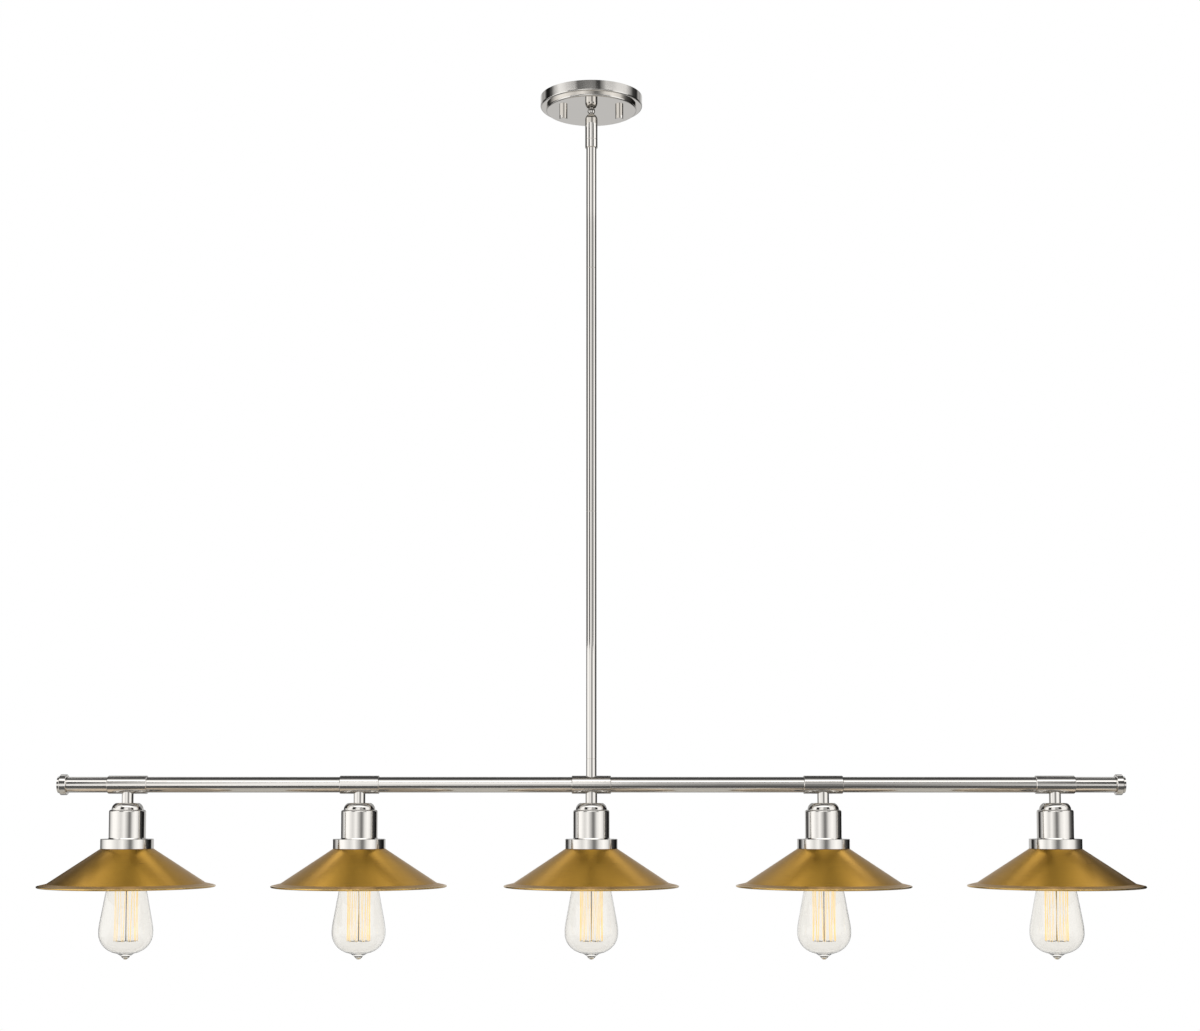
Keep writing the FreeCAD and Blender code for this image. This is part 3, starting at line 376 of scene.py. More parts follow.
# %% [markdown]
# ## Antique brass shades
#
# Each shade is spun from brass, darkened and then brushed back, so gold shows through a brown
# film in fine rings, with clouds where it was rubbed more or less. The rolled rim is rubbed
# bare. The inside is sprayed pale satin to throw the light down. One material does all of it:
# the normal's height tells the inside from the outside, and the radius finds the rim. Where the
# nickel mirrors a shade, the photograph shows a pale beige, so the shade's colour in reflections
# is a painted reflection in that beige.

# %% Antique brass: its rings, rim and inside
RIM_WIDTH = 0.0026
SHADE_ARC = 0.12
shade_low, shade_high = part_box("shade_1")
rim_radius = (shade_high[0] - shade_low[0]) / 2

antique_brass, tree, shader = new_material(
    "antique_brass", Coat_Weight=0.10, Coat_Roughness=0.25, Coat_IOR=1.5,
)
where = place_group(tree, turned_place, {"Pitch": lamp_pitch})
marks = place_group(tree, hairlines, {
    "Along": math_node(tree, "MULTIPLY", where["Angle"], SHADE_ARC),
    "Across": where["Radius"], "Depth": 0.0,
    "Lines per metre": 3200.0, "Streaks per metre": 520.0,
})
cloud = place_group(tree, clouding, {"Patches per metre": 16.0})
surface = add_node(tree, "ShaderNodeNewGeometry").outputs
facing = split(tree, surface["True Normal"])["Z"]
rim = math_node(tree, "GREATER_THAN", where["Radius"], rim_radius - RIM_WIDTH)
lower_side = math_node(tree, "LESS_THAN", facing, -0.3)
inside = math_node(tree, "MULTIPLY", lower_side, math_node(tree, "SUBTRACT", 1.0, rim))
print(f"shade rim at {rim_radius * 1000:.1f} mm")

# %% Antique brass: its colour and gloss
BRASS_GOLD = (0.67, 0.374, 0.028, 1.0)
BRASS_BROWN = (0.48, 0.24, 0.028, 1.0)
RIM_GOLD = (0.85, 0.54, 0.16, 1.0)
# A painted reflection colour: glossy rays see the shades in this beige instead of brass.
PAINTED_REFLECTION_BEIGE = (0.66, 0.60, 0.52, 1.0)
SHADE_INSIDE = (0.86, 0.85, 0.82, 1.0)
PAINTED_REFLECTION_SHARE = 0.8
RINGS_IN_FILM, CLOUDS_IN_FILM = 0.75, 0.3
BRASS_ROUGHNESS, RINGS_ROUGHEN = 0.24, 0.10
RIM_SMOOTHER_BY, PAINT_ROUGHER_BY = 0.14, 0.2

rings = math_node(tree, "MULTIPLY", marks["Tone"], RINGS_IN_FILM)
film = math_node(tree, "MULTIPLY_ADD", cloud["Cloud"], CLOUDS_IN_FILM, rings, clamp=True)
metal = mix_colours(tree, film, BRASS_BROWN, BRASS_GOLD)
metal = mix_colours(tree, rim, metal, RIM_GOLD)
# Painted reflection: mirror rays see the shades mostly as pale beige, not as brass.
mirrored = add_node(tree, "ShaderNodeLightPath").outputs["Is Glossy Ray"]
mirrored = math_node(tree, "MULTIPLY", mirrored, PAINTED_REFLECTION_SHARE)
metal = mix_colours(tree, mirrored, metal, PAINTED_REFLECTION_BEIGE)
gloss = math_node(tree, "MULTIPLY_ADD", marks["Tone"], RINGS_ROUGHEN, BRASS_ROUGHNESS)
gloss = math_node(tree, "MULTIPLY_ADD", rim, -RIM_SMOOTHER_BY, gloss)
gloss = math_node(tree, "MULTIPLY_ADD", inside, PAINT_ROUGHER_BY, gloss, clamp=True)
feed(
    tree, shader,
    Base_Color=mix_colours(tree, inside, metal, SHADE_INSIDE),
    Metallic=math_node(tree, "SUBTRACT", 1.0, inside),
    Roughness=gloss,
    Normal=bump(tree, marks["Height"], 0.00001),
)
for number in lamp_numbers:
    dress(f"shade_{number}", antique_brass)
print(f"antique brass on {LAMPS} shades")

# %% [markdown]
# ## Plain metals of the hidden hardware
#
# The crossbar, studs, nuts and nipples are zinc plated. Zinc has a cool grey with a faint
# crystalline spangle, which a Voronoi pattern gives. The nipples' threads don't move, so they
# are drawn here as a bump that climbs round the axis: real threads would cost many faces on
# pieces that the tubes hide.

# %% Group: thread_lines
thread_lines, given, result = new_group(
    "thread_lines",
    [("Pitch", FLOAT, 0.0008), ("Angle", FLOAT, 0.0), ("Height", FLOAT, 0.0)],
    [("Groove", FLOAT)],
)
tree = thread_lines
turns = math_node(tree, "MULTIPLY", given["Angle"], 1 / (2 * math.pi))
climb = math_node(tree, "DIVIDE", given["Height"], given["Pitch"])
phase = math_node(tree, "FRACT", math_node(tree, "SUBTRACT", climb, turns))
tree.links.new(math_node(tree, "PINGPONG", phase, 0.5), result["Groove"])
print("group thread_lines:", [item.name for item in result if item.name])

# %% Zinc plate
ZINC_LIGHT = (0.72, 0.73, 0.74, 1.0)
ZINC_DARK = (0.50, 0.51, 0.53, 1.0)
SPANGLE_SCALE = 420.0
NIPPLE_THREAD = 0.00094


def zinc(name, thread_pitch=None):
    """Zinc plate, and where asked with thread lines round the lamps' axes."""
    material, tree, shader = new_material(name, Metallic=1.0)
    spangle = add_node(
        tree, "ShaderNodeTexVoronoi", {"Vector": object_place(tree), "Scale": SPANGLE_SCALE}
    ).outputs["Color"]
    grey = add_node(tree, "ShaderNodeSeparateColor", {"Color": spangle}).outputs[0]
    cloud = place_group(tree, clouding, {"Patches per metre": 40.0})
    gloss = math_node(tree, "MULTIPLY_ADD", cloud["Cloud"], 0.2, 0.22, clamp=True)
    feed(tree, shader, Base_Color=mix_colours(tree, grey, ZINC_DARK, ZINC_LIGHT), Roughness=gloss)
    if thread_pitch:
        where = place_group(tree, turned_place, {"Pitch": lamp_pitch})
        groove = place_group(
            tree, thread_lines,
            {"Pitch": thread_pitch, "Angle": where["Angle"], "Height": where["Height"]},
        )["Groove"]
        feed(tree, shader, Normal=bump(tree, groove, thread_pitch * 0.5))
    else:
        feed(tree, shader, Normal=bump(tree, cloud["Cloud"], 0.00002))
    return material


zinc_plain = zinc("zinc_plain")
zinc_nipple = zinc("zinc_nipple", NIPPLE_THREAD)
for name in ("mounting_bracket", "mounting_studs", "bracket_nuts", "ball_stud_nut", "shade_rings"):
    dress(name, zinc_plain)
for name in ("rod_nipples", "lamp_nipples"):
    dress(name, zinc_nipple)
print(f"zinc plate ready, nipple threads {NIPPLE_THREAD * 1000:.2f} mm apart")

# %% [markdown]
# ## Brass contacts, threaded shells and solder
#
# The lampholder's shell and centre contact are bright brass, the bulb's shell is thinner brass
# with drawing marks, and its centre button is a blob of grey solder with a pitted skin.

# %% Contact metals
def bright_metal(name, light, dark, roughness, grain, pits=0.0):
    """A bright metal with faint turned rings and, where asked, a pitted skin."""
    material, tree, shader = new_material(name, Metallic=1.0)
    where = place_group(tree, turned_place, {"Pitch": lamp_pitch})
    marks = place_group(tree, hairlines, {
        "Along": math_node(tree, "MULTIPLY", where["Angle"], CUP_ARC),
        "Across": where["Height"], "Depth": where["Radius"],
        "Lines per metre": grain,
    })
    cloud = place_group(tree, clouding, {"Patches per metre": 90.0})
    height = math_node(tree, "MULTIPLY_ADD", cloud["Cloud"], pits, marks["Height"])
    feed(
        tree, shader,
        Base_Color=mix_colours(tree, cloud["Cloud"], dark, light),
        Roughness=math_node(tree, "MULTIPLY_ADD", cloud["Cloud"], 0.2, roughness, clamp=True),
        Normal=bump(tree, height, 0.00002),
    )
    return material


contact_brass = bright_metal(
    "contact_brass", (0.84, 0.62, 0.26, 1), (0.62, 0.43, 0.16, 1), 0.16, 1800.0)
bulb_shell = bright_metal(
    "bulb_shell", (0.86, 0.70, 0.38, 1), (0.66, 0.52, 0.27, 1), 0.20, 2400.0)
solder = bright_metal(
    "solder", (0.70, 0.70, 0.71, 1), (0.50, 0.50, 0.52, 1), 0.32, 900.0, pits=6.0)
dress("socket_shells", contact_brass)
dress("socket_contacts", contact_brass)
for number in lamp_numbers:
    dress(f"bulb_base_{number}", bulb_shell)
    dress(f"bulb_tip_{number}", solder)
print("contact metals ready")

# %% [markdown]
# ## Moulded and painted pieces
#
# The lampholders are black phenolic, a hard moulded plastic with a faint orange-peel skin. The
# swivel's seat is natural nylon. The earth screw is green by custom, the leads have black
# insulation, their crimps are dull tin and the wire nuts are orange. All of these are one
# recipe with other values: a colour, a roughness and how deep the skin is.

# %% Moulded pieces
MOTTLE_DARKENS = 0.24
SKIN_CELLS = 1400.0


def moulded(name, colour, roughness, peel):
    """Moulded plastic or paint: an even colour with a slight mottle and an orange-peel skin."""
    material, tree, shader = new_material(name)
    cloud = place_group(tree, clouding, {"Patches per metre": 60.0})
    darker = tuple(channel * (1 - MOTTLE_DARKENS) for channel in colour[:3]) + (1.0,)
    skin = noise(tree, object_place(tree), SKIN_CELLS, 2.0, 0.5)
    feed(
        tree, shader,
        Base_Color=mix_colours(tree, cloud["Cloud"], darker, colour),
        Roughness=math_node(tree, "MULTIPLY_ADD", cloud["Cloud"], 0.15, roughness, clamp=True),
        Normal=bump(tree, skin, peel),
    )
    return material


MOULDED = {
    "phenolic": ((0.035, 0.030, 0.028, 1), 0.30, 0.00003, ["socket_bodies"]),
    "nylon": ((0.80, 0.78, 0.70, 1), 0.40, 0.00002, ["swivel_seat"]),
    "ground_green": ((0.04, 0.30, 0.10, 1), 0.35, 0.00002, ["ground_screw"]),
    "lead_insulation": (
        (0.03, 0.03, 0.032, 1), 0.38, 0.00002,
        ["canopy_leads", "stem_leads", "bar_leads", "lamp_leads"],
    ),
    "wire_nut_orange": ((0.80, 0.25, 0.03, 1), 0.45, 0.00004, ["wire_nuts"]),
    "tinned_crimp": ((0.70, 0.70, 0.70, 1), 0.30, 0.00001, ["lead_splices"]),
}
for name, (colour, roughness, peel, pieces) in MOULDED.items():
    material = moulded(name, colour, roughness, peel)
    for piece in pieces:
        dress(piece, material)
print("moulded:", ", ".join(MOULDED))

# %% [markdown]
# ## Clear glass
#
# The CAD bulb is a real shell of glass 0.8 mm thick, with an inner and an outer surface, so a
# plain refractive glass bends light as the real one does. A faint bump stands for the slight
# waves of blown glass, and the tint is barely warm. Toward the bulb's outline the eye looks
# through the wall edgewise, and a painted shade darkens the tint there, as in the photograph.

# %% Bulb glass
GLASS_WARM = (0.945, 0.93, 0.90, 1)
GLASS_CLEAR = (0.96, 0.95, 0.925, 1)
GLASS_PAINTED_EDGE_SHADE = (0.42, 0.40, 0.34, 1)
PAINTED_EDGE_SHADE_FALLOFF = 7.0

bulb_glass, tree, shader = new_material(
    "bulb_glass", Metallic=0.0, Transmission_Weight=1.0, IOR=1.47, Roughness=0.0,
)
waves = noise(tree, object_place(tree), 34.0, 1.0, 0.4)
tint = mix_colours(tree, waves, GLASS_WARM, GLASS_CLEAR)
facing = add_node(tree, "ShaderNodeLayerWeight", {"Blend": 0.5}).outputs["Facing"]
# Painted shade: the glass tint darkens toward the bulb's outline.
tint = mix_colours(tree, math_node(tree, "POWER", facing, PAINTED_EDGE_SHADE_FALLOFF), tint, GLASS_PAINTED_EDGE_SHADE)
feed(tree, shader, Base_Color=tint, Normal=bump(tree, waves, 0.00004))
for number in lamp_numbers:
    dress(f"bulb_glass_{number}", bulb_glass)
print("glass on", LAMPS, "bulbs")

# %% [markdown]
# ## Filament cage
#
# The long bulb holds a squirrel cage: one thread of carbon that runs up and down between two
# wheels of small hooks. A dark rod down the middle carries the wheels, and hangs from a flared
# glass stem. The solid only marks their place with thick strands. Here the thread, the hooks
# and the wires are each swept as fine tubes along their own paths, so that the light between
# them shows as it does in the photograph, and the stem is turned from its outline.

# %% Swept tubes
def sweep(mesh, path, radius, sides=8):
    """Adds a round tube of the given radius along a path of points to a bmesh."""
    rings = []
    reference = Vector((0, 0, 1))
    for index, point in enumerate(path):
        before = path[max(index - 1, 0)]
        after = path[min(index + 1, len(path) - 1)]
        heading = (after - before).normalized()
        if abs(heading.dot(reference)) > 0.95:
            reference = Vector((1, 0, 0)) if abs(heading.x) < 0.9 else Vector((0, 1, 0))
        side = heading.cross(reference).normalized()
        up = side.cross(heading).normalized()
        reference = up
        ring = []
        for step in range(sides):
            turn = 2 * math.pi * step / sides
            offset = side * math.cos(turn) + up * math.sin(turn)
            ring.append(mesh.verts.new(point + offset * radius))
        rings.append(ring)
    for first, second in zip(rings, rings[1:]):
        for step in range(sides):
            after = (step + 1) % sides
            mesh.faces.new((first[step], first[after], second[after], second[step]))
    mesh.faces.new(reversed(rings[0]))
    mesh.faces.new(rings[-1])


print("sweep ready")

# %% Turned surfaces
def lathe(mesh, outline, sides=48):
    """Adds a turned surface to a bmesh from (radius, height) points, closed on the axis."""
    rings = []
    for radius, height in outline:
        if radius < 1e-7:
            rings.append([mesh.verts.new((0, 0, height))])
            continue
        ring = []
        for step in range(sides):
            turn = 2 * math.pi * step / sides
            ring.append(mesh.verts.new((radius * math.cos(turn), radius * math.sin(turn), height)))
        rings.append(ring)
    for first, second in zip(rings, rings[1:]):
        for step in range(sides):
            after = (step + 1) % sides
            corners = []
            for corner in (
                first[step % len(first)], first[after % len(first)],
                second[after % len(second)], second[step % len(second)],
            ):
                if corner not in corners:
                    corners.append(corner)
            mesh.faces.new(corners)


print("lathe ready")

# %% Pieces that ride on a body
def finish_piece(mesh, name, material, body, place, replaced=None):
    """Turns a bmesh into a smooth object that rides on a body."""
    bmesh.ops.recalc_face_normals(mesh, faces=mesh.faces)
    data = bpy.data.meshes.new(name)
    mesh.to_mesh(data)
    mesh.free()
    for face in data.polygons:
        face.use_smooth = True
    data.materials.append(material)
    piece = bpy.data.objects.new(name, data)
    piece.location = place
    bpy.context.scene.collection.objects.link(piece)
    bpy.context.view_layer.update()
    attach(piece, body)
    if replaced:
        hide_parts(replaced)
    return piece


print("finish_piece ready")

# %% [markdown]
# ## The cage's own materials
#
# The strands glow faintly amber, the rod, hooks and lead wires are dark drawn molybdenum, and
# the stem is clear glass with slight ripples where it was drawn and pressed.

# %% Filament materials
AMBER_DEEP = (0.88, 0.56, 0.14, 1)
AMBER_PALE = (1.0, 0.80, 0.38, 1)

strand_glow, tree, shader = new_material("strand_glow", Roughness=0.5, Emission_Strength=0.75)
along = noise(tree, object_place(tree), 60.0, 2.0, 0.6)
warm = mix_colours(tree, along, AMBER_DEEP, AMBER_PALE)
feed(tree, shader, Base_Color=warm, Emission_Color=warm)

hook_metal = bright_metal(
    "hook_metal", (0.36, 0.34, 0.32, 1), (0.20, 0.18, 0.17, 1), 0.30, 2000.0)

stem_glass, tree, shader = new_material(
    "stem_glass", Metallic=0.0, Transmission_Weight=1.0, IOR=1.5, Roughness=0.02)
ripple = noise(tree, object_place(tree), 160.0, 1.0, 0.4)
feed(tree, shader,
     Base_Color=mix_colours(tree, ripple, (0.96, 0.95, 0.92, 1), (1.0, 0.99, 0.97, 1)),
     Normal=bump(tree, ripple, 0.0001))
print("filament materials ready")

# %% [markdown]
# ## Building the cages
#
# One cage is measured from the first bulb's solid and built round the Z axis, and each bulb gets
# its own copy at its own X. The thread bows in slightly between its hooks, as a slack thread
# does. Every piece rides on its bulb, so that the cage turns out of the lampholder with it.

# %% Cage sizes
HOOKS = 10
RUNS = HOOKS * 2
STRAND_RADIUS = 0.00030
HOOK_RADIUS = 0.00018
LEAD_RADIUS = 0.00025
ROD_RADIUS = 0.0006
CAGE_LENGTH = 0.071
CAGE_RADIUS = 0.0139
SLACK = 0.0004
HOOK_RISE = 0.0003

cage_low, cage_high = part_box("bulb_filament_1")
stem_top = cage_high[2]
cage_bottom = cage_low[2] + 0.0009
cage_top = cage_bottom + CAGE_LENGTH
foot_radius = min((cage_high[0] - cage_low[0]) / 2, 0.0100)
print(f"cage from {cage_bottom:.4f} to {cage_top:.4f}, stem up to {stem_top:.4f}")

# %% The thread
def cage_point(radius, turn, height):
    """A point at a radius and an angle round the cage's axis."""
    return Vector((radius * math.cos(turn), radius * math.sin(turn), height))


def build_strands():
    """One thread, up and down between the hooks, a little slack in each run."""
    mesh = bmesh.new()
    path = []
    for run in range(RUNS):
        turn = 2 * math.pi * run / RUNS
        after = 2 * math.pi * (run + 0.5) / RUNS
        start, end = (cage_top, cage_bottom) if run % 2 == 0 else (cage_bottom, cage_top)
        for step in range(13):
            share = step / 12
            bow = SLACK * math.sin(math.pi * share)
            path.append(cage_point(
                CAGE_RADIUS - bow, turn + (after - turn) * share, start + (end - start) * share,
            ))
    path.append(path[0].copy())
    sweep(mesh, path, STRAND_RADIUS, sides=6)
    return mesh


print(f"a thread of {RUNS} runs")

# %% The hooks and wires
def hook_path(turn, height, lift):
    """A spoke out of the rod that ends in a hook, open upward or downward."""
    path = [cage_point(ROD_RADIUS * 0.6, turn, height)]
    for step in range(1, 9):
        share = step / 8
        path.append(cage_point(
            ROD_RADIUS + (CAGE_RADIUS - ROD_RADIUS) * share, turn,
            height + lift * HOOK_RISE * 2 * math.sin(math.pi * share),
        ))
    for step in range(1, 6):
        bend = math.pi * 1.2 * step / 5
        path.append(cage_point(
            CAGE_RADIUS + HOOK_RISE * math.sin(bend), turn,
            height + lift * HOOK_RISE * (1 - math.cos(bend)),
        ))
    return path


def build_hooks():
    """Two wheels of hooked wires, the rod that carries them and the two lead wires."""
    mesh = bmesh.new()
    ends = (cage_bottom - 0.0006, cage_bottom + 0.030, cage_top - 0.020, cage_top + 0.010)
    sweep(mesh, [Vector((0, 0, height)) for height in ends], ROD_RADIUS)
    for height, offset, lift in ((cage_top, 1.75, 1), (cage_bottom, 0.75, -1)):
        for hook in range(HOOKS):
            turn = 2 * math.pi * (2 * hook + offset) / RUNS
            sweep(mesh, hook_path(turn, height, lift), HOOK_RADIUS, sides=6)
    for side in (-1, 1):
        wire = [
            Vector((side * x, 0, cage_top + above)) for x, above in (
                (0.0012, 0.014), (0.0022, 0.009), (0.0068, 0.004), (0.0120, 0.0006),
                (CAGE_RADIUS, 0),
            )
        ]
        sweep(mesh, wire, LEAD_RADIUS)
    return mesh


print(f"{HOOKS} hooks on each wheel")

# %% The glass stem
def build_stem():
    """The flared glass stem, its press, and the bead at its end."""
    mesh = bmesh.new()
    top = stem_top - 0.0002
    press = cage_top + 0.0155
    outline = [(0, top), (foot_radius * 0.55, top)]
    for step in range(9):
        turn = math.pi / 2 * step / 8
        outline.append((
            foot_radius - (foot_radius - 0.0030) * math.sin(turn),
            top - 0.0010 - (1 - math.cos(turn)) * 0.009,
        ))
    outline += [
        (0.0030, press + 0.006), (0.0034, press + 0.004), (0.0034, press), (0.0022, press - 0.002),
        (0.0012, press - 0.0035), (0.0012, cage_top + 0.002), (0.0017, cage_top + 0.001),
        (0.0017, cage_top), (0.0012, cage_top - 0.001), (0, cage_top - 0.0012),
    ]
    lathe(mesh, outline)
    return mesh


for number in lamp_numbers:
    place = (lamp_x[number], 0, 0)
    body = f"bulb_{number}"
    finish_piece(
        build_strands(), f"strands_{number}", strand_glow, body, place,
        replaced=f"bulb_filament_{number}",
    )
    finish_piece(build_hooks(), f"hooks_{number}", hook_metal, body, place)
    finish_piece(build_stem(), f"glass_stem_{number}", stem_glass, body, place)
print(f"{LAMPS} cages, each of a thread, hooks and a glass stem")

# %% [markdown]
# ## The studio
#
# The photograph is a cut-out on pure white. So the world is plain white to the camera, to
# mirrors and to glass, which all see it as the background. To everything else it is a soft,
# dimmer fill, and never the main light. The floor lies far under the hanging lamp, pale and
# slightly uneven, so that even a view from steeply below is not cut off by it.

# %% World
WORLD_DIFFUSE = 0.55
world = bpy.data.worlds.new("white_studio")
bpy.context.scene.world = world
world.use_nodes = True
tree = world.node_tree
tree.nodes.clear()
rays = add_node(tree, "ShaderNodeLightPath").outputs
seen = math_node(tree, "MAXIMUM", rays["Is Camera Ray"], rays["Is Glossy Ray"])
seen = math_node(tree, "MAXIMUM", seen, rays["Is Transmission Ray"])
strength = math_node(tree, "MULTIPLY_ADD", seen, 1.0 - WORLD_DIFFUSE, WORLD_DIFFUSE)
white = add_node(
    tree, "ShaderNodeBackground", {"Color": (1, 1, 1, 1), "Strength": strength}
).outputs[0]
add_node(tree, "ShaderNodeOutputWorld", {"Surface": white})
print(f"world at 1 where it is seen, {WORLD_DIFFUSE} as soft light")

# %% Floor
FLOOR_Z = -4.4
FLOOR_HALF = 3.0


def square(half, height):
    """The corners of a level square round the Z axis."""
    return [(x * half, y * half, height) for x, y in ((-1, -1), (1, -1), (1, 1), (-1, 1))]


floor_data = bpy.data.meshes.new("studio_floor")
floor_data.from_pydata(square(FLOOR_HALF, FLOOR_Z), [], [(0, 1, 2, 3)])
floor = bpy.data.objects.new("studio_floor", floor_data)
bpy.context.scene.collection.objects.link(floor)
floor_material, tree, shader = new_material("studio_floor", Roughness=0.9)
grain = noise(tree, object_place(tree), 3.0, 3.0, 0.5)
feed(tree, shader,
     Base_Color=mix_colours(tree, grain, (0.80, 0.77, 0.70, 1), (0.84, 0.81, 0.75, 1)))
floor_data.materials.append(floor_material)
print(f"floor at {FLOOR_Z} m")

# %% [markdown]
# ## A drum of cards
#
# Nickel is a mirror with a soft edge, so its light and dark bands are the studio itself: white
# cards for the light bands and black ones for the dark edges, as a product photographer sets
# them. Separate cards would be many objects, so they stand here in a drum round the lamp, in
# rows one over the other. Only reflections see the drum: it hides nothing and casts no shadow.

# %% Stage pieces that only mirrors see
def only_in_reflections(piece):
    """Hides a stage piece from everything but glossy rays."""
    piece.visible_camera = False
    piece.visible_diffuse = False
    piece.visible_transmission = False
    piece.visible_shadow = False
    bpy.context.scene.collection.objects.link(piece)


print("only_in_reflections ready")

# %% Glowing cards
CARD_STRENGTH = 2.0


def ramp(tree, factor, stops):
    """A colour ramp from (position, grey or colour) pairs."""
    node = add_node(tree, "ShaderNodeValToRGB", {"Fac": factor})
    elements = node.color_ramp.elements
    while len(elements) < len(stops):
        elements.new(0.5)
    for element, (position, colour) in zip(elements, stops):
        element.position = position
        grey = isinstance(colour, (int, float))
        element.color = (colour, colour, colour, 1.0) if grey else (*colour, 1.0)
    return node.outputs[0]


def glowing_card(name, corners, faces, tones, across):
    """A card whose tone follows (place, tone) pairs along its azimuth in degrees or its Y.

    A ramp's colours end at 1, so it holds the tones divided by the card's strength.
    """
    material, tree, shader = new_material(
        name, Base_Color=(0, 0, 0, 1), Roughness=1.0, Specular_IOR_Level=0.0,
        Emission_Strength=CARD_STRENGTH,
    )
    material.cycles.emission_sampling = "NONE"
    axes = split(tree, object_place(tree))
    start, end = tones[0][0], tones[-1][0]
    if across == "azimuth":
        front = math_node(tree, "MULTIPLY", axes["Y"], -1.0)
        turn = math_node(tree, "ARCTAN2", axes["X"], front)
        share = math_node(tree, "MULTIPLY_ADD", turn, 1 / (2 * math.pi), 0.5)
    else:
        span = end - start
        share = math_node(tree, "MULTIPLY_ADD", axes["Y"], 1 / span, -start / span)
    stops = [((place - start) / (end - start), tone / CARD_STRENGTH) for place, tone in tones]
    feed(tree, shader, Emission_Color=ramp(tree, share, stops))
    data = bpy.data.meshes.new(name)
    data.from_pydata(corners, [], faces)
    data.materials.append(material)
    piece = bpy.data.objects.new(name, data)
    only_in_reflections(piece)
    return piece


print(f"a card's tones are scaled by {CARD_STRENGTH}")

# %% A row of cards
DRUM_RADIUS = 2.2
DRUM_SIDES = 96


def drum_row(name, low, high, tones):
    """One row of cards all the way round, between two heights."""
    corners = []
    for side in range(DRUM_SIDES):
        turn = 2 * math.pi * side / DRUM_SIDES
        x, y = DRUM_RADIUS * math.sin(turn), -DRUM_RADIUS * math.cos(turn)
        corners += [(x, y, low), (x, y, high)]
    faces = []
    for side in range(DRUM_SIDES):
        after = (side + 1) % DRUM_SIDES
        faces.append((2 * side, 2 * after, 2 * after + 1, 2 * side + 1))
    return glowing_card(name, corners, faces, tones, "azimuth")


print(f"cards ready for a drum {DRUM_RADIUS * 2} m across")

# %% [markdown]
# ## The rows of the drum
#
# From the photograph's camera, each part of the lamp mirrors its own height of the studio, so
# each has a row of cards: the canopy's rim, its step and its flat underside, the stem, the bar
# and the cups. Azimuth 0 is in front of the bar and runs positive to the right, and each row
# lists how bright the cards are at which azimuth, where 1 is plain white. From the floor up,
# each row starts where the last one ends. Behind the lamp most are dim but not black, so that
# the metal keeps some light when it is seen from there.

# %% The drum
DRUM_BOTTOM = -3.3
DRUM_TOP = 2.3
DRUM_ROWS = (
    ("cards_by_the_floor", -1.39, [
        (-180, 0.35), (-145, 0.30), (-120, 0.05), (-90, 0.35), (-60, 0.20), (-35, 0.11),
        (35, 0.11), (60, 0.20), (85, 0.30), (100, 0.05), (145, 0.30), (180, 0.35),
    ]),
    ("cards_by_the_cups", -0.526, [
        (-180, 0.62), (-156, 0.60), (-149, 0.01), (-128, 0.06), (-116, 0.45), (-100, 1.0),
        (-85, 1.3), (-68, 1.28), (-55, 1.05), (-42, 0.88), (-22, 1.20), (-9, 0.80),
        (3, 0.44), (9, 0.22), (16, 0.25), (22, 0.44), (29, 0.75), (35, 1.0), (55, 1.27),
        (70, 1.1), (78, 0.96), (86, 0.42), (95, 0.15), (104, 0.07), (128, 0.01), (149, 0.01),
        (156, 0.60), (180, 0.62),
    ]),
    ("cards_by_the_stem", 0.49, [
        (-180, 0.40), (-142, 0.38), (-131, 0.02), (-108, 0.01), (-96, 0.03), (-88, 0.8),
        (-79, 1.2), (-60, 1.2), (-55, 1.1), (-52, 0.02), (-32, 0.02), (-28, 0.7), (-18, 1.1),
        (0, 1.1), (3, 0.50), (26, 0.50), (32, 0.03), (46, 0.03), (51, 1.15), (76, 1.2),
        (88, 0.8), (96, 0.05), (112, 0.01), (131, 0.02), (142, 0.38), (180, 0.40),
    ]),
    ("cards_by_the_swivel", 0.722, [
        (-180, 0.40), (-142, 0.38), (-131, 0.02), (-114, 0.015), (-98, 0.08), (-89, 0.9),
        (-77, 1.3), (-60, 1.3), (-56, 1.0), (-52, 0.03), (-34, 0.03), (-29, 0.9), (-14, 1.3),
        (0, 1.2), (4, 0.50), (26, 0.50), (32, 0.04), (44, 0.04), (49, 1.3), (84, 1.3),
        (92, 0.7), (100, 0.05), (131, 0.02), (142, 0.38), (180, 0.40),
    ]),
    ("cards_by_the_step", 0.746, [
        (-180, 0.02), (-113, 0.02), (-80, 0.03), (-72, 1.4), (-34, 1.5), (-28, 0.04),
        (-18, 0.04), (-13, 0.40), (13, 0.45), (18, 0.04), (28, 0.04), (34, 1.5), (72, 1.4),
        (80, 0.03), (113, 0.02), (180, 0.02),
    ]),
    ("cards_by_the_canopy", 0.968, [
        (-180, 0.8), (-155, 0.7), (-142, 0.35), (-132, 0.45), (-121, 0.015), (-110, 0.015),
        (-100, 0.12), (-89, 0.66), (-77, 1.05), (-66, 0.92), (-56, 0.72), (-47, 0.62),
        (-38, 0.50), (-31, 0.15), (-19, 0.20), (0, 0.24), (8, 0.20), (12, 0.05), (18, 0.05),
        (23, 0.30), (33, 0.68), (51, 0.70), (61, 0.86), (83, 0.90), (95, 0.50), (107, 0.06),
        (123, 0.015), (132, 0.45), (142, 0.35), (155, 0.7), (180, 0.8),
    ]),
    ("cards_overhead", DRUM_TOP, [
        (-180, 0.02), (-148, 0.02), (-140, 0.9), (-125, 1.2), (-112, 0.6), (-100, 0.2),
        (-80, 0.70), (-60, 1.2), (-45, 1.6), (45, 1.6), (60, 1.2), (80, 0.70), (100, 0.2),
        (112, 0.6), (125, 1.2), (140, 0.9), (148, 0.02), (180, 0.02),
    ]),
)
row_bottom = DRUM_BOTTOM
for name, row_top, tones in DRUM_ROWS:
    drum_row(name, row_bottom, row_top, tones)
    row_bottom = row_top
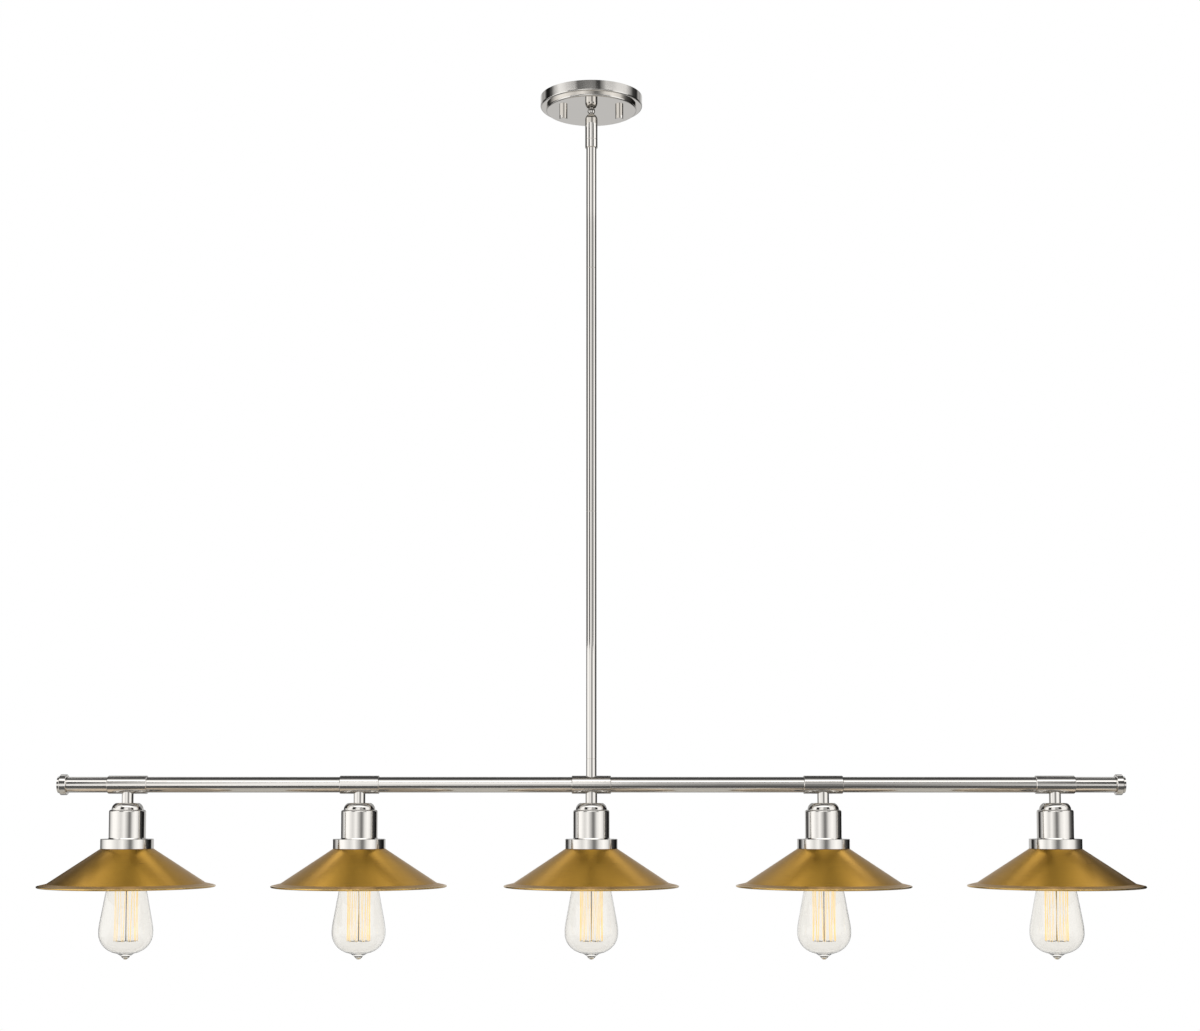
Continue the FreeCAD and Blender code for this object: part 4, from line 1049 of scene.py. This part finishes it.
glowing_card(
    "card_on_top", square(DRUM_RADIUS, DRUM_TOP), [(0, 1, 2, 3)],
    [
        (-DRUM_RADIUS, 1.4), (-1.5, 1.2), (-1.0, 0.30), (-0.3, 0.12), (0.9, 0.08), (1.4, 0.03),
        (DRUM_RADIUS, 0.02),
    ],
    "depth",
)
print("drum:", ", ".join(name for name, top, tones in DRUM_ROWS), "and a card on top")

# %% [markdown]
# ## Soft light
#
# What isn't metal is lit by five soft lamps and the world together, at a level where a painted
# colour shows about as it is written. The drum already shows the metal where its lamps stand,
# so these lamps stay out of the reflections.
#
# The brass is duller than the nickel, so it gathers its light from a wider part of the studio
# than one row of cards. Brighter cards would spoil the nickel, so five more lamps shine on the
# shades alone, which light linking allows: three behind and above for the two golden sheens
# down the front of each shade, and a weak one at each side for its flanks.

# %% Soft lamps
def soft_lamp(name, place, aim, size, radiance, mirrored=False):
    """A rectangular area light that looks at a point and is as bright as this radiance."""
    data = bpy.data.lights.new(name, "AREA")
    data.shape = "RECTANGLE"
    data.size, data.size_y = size
    data.energy = radiance * math.pi * size[0] * size[1]
    lamp = bpy.data.objects.new(name, data)
    lamp.location = place
    lamp.visible_camera = False
    lamp.visible_glossy = mirrored
    lamp.visible_transmission = False
    direction = Vector(aim) - Vector(place)
    lamp.rotation_euler = direction.to_track_quat("-Z", "Y").to_euler()
    bpy.context.scene.collection.objects.link(lamp)
    return lamp


for name, place, aim, size, radiance in (
    ("lamp_left", (-2.15, -0.25, -0.5), (0, 0, -0.5), (1.5, 3.0), 1.15),
    ("lamp_right", (1.95, -0.95, -0.5), (0, 0, -0.5), (1.3, 3.0), 1.15),
    ("lamp_front", (0, -2.3, 0.75), (0, 0, -0.86), (4.0, 1.5), 1.25),
    ("lamp_top_left", (-0.85, 1.6, 1.3), (-0.3, 0, -0.9), (0.9, 0.8), 1.6),
    ("lamp_top_right", (0.85, 1.6, 1.3), (0.3, 0, -0.9), (0.9, 0.8), 1.6),
):
    soft_lamp(name, place, aim, size, radiance)
print("five soft lamps")

# %% Lamps for the brass alone
brass_pieces = bpy.data.collections.new("brass_pieces")
for number in lamp_numbers:
    brass_pieces.objects.link(nodes[f"shade_{number}"])
for name, place, size, radiance in (
    ("sheen_left", (-1.0, 1.45, 1.30), (1.4, 1.4), 0.80),
    ("sheen_middle", (0, 1.60, 1.75), (1.0, 1.1), 1.15),
    ("sheen_right", (1.0, 1.45, 1.30), (1.4, 1.4), 0.80),
    ("flank_left", (-2.1, 0.75, -0.05), (1.9, 1.3), 0.25),
    ("flank_right", (2.1, 0.75, -0.05), (1.9, 1.3), 0.25),
):
    aim = (0.1 * place[0], 0, -0.95)
    lamp = soft_lamp(name, place, aim, size, radiance, mirrored=True)
    lamp.light_linking.receiver_collection = brass_pieces
print("five lamps for the brass alone")
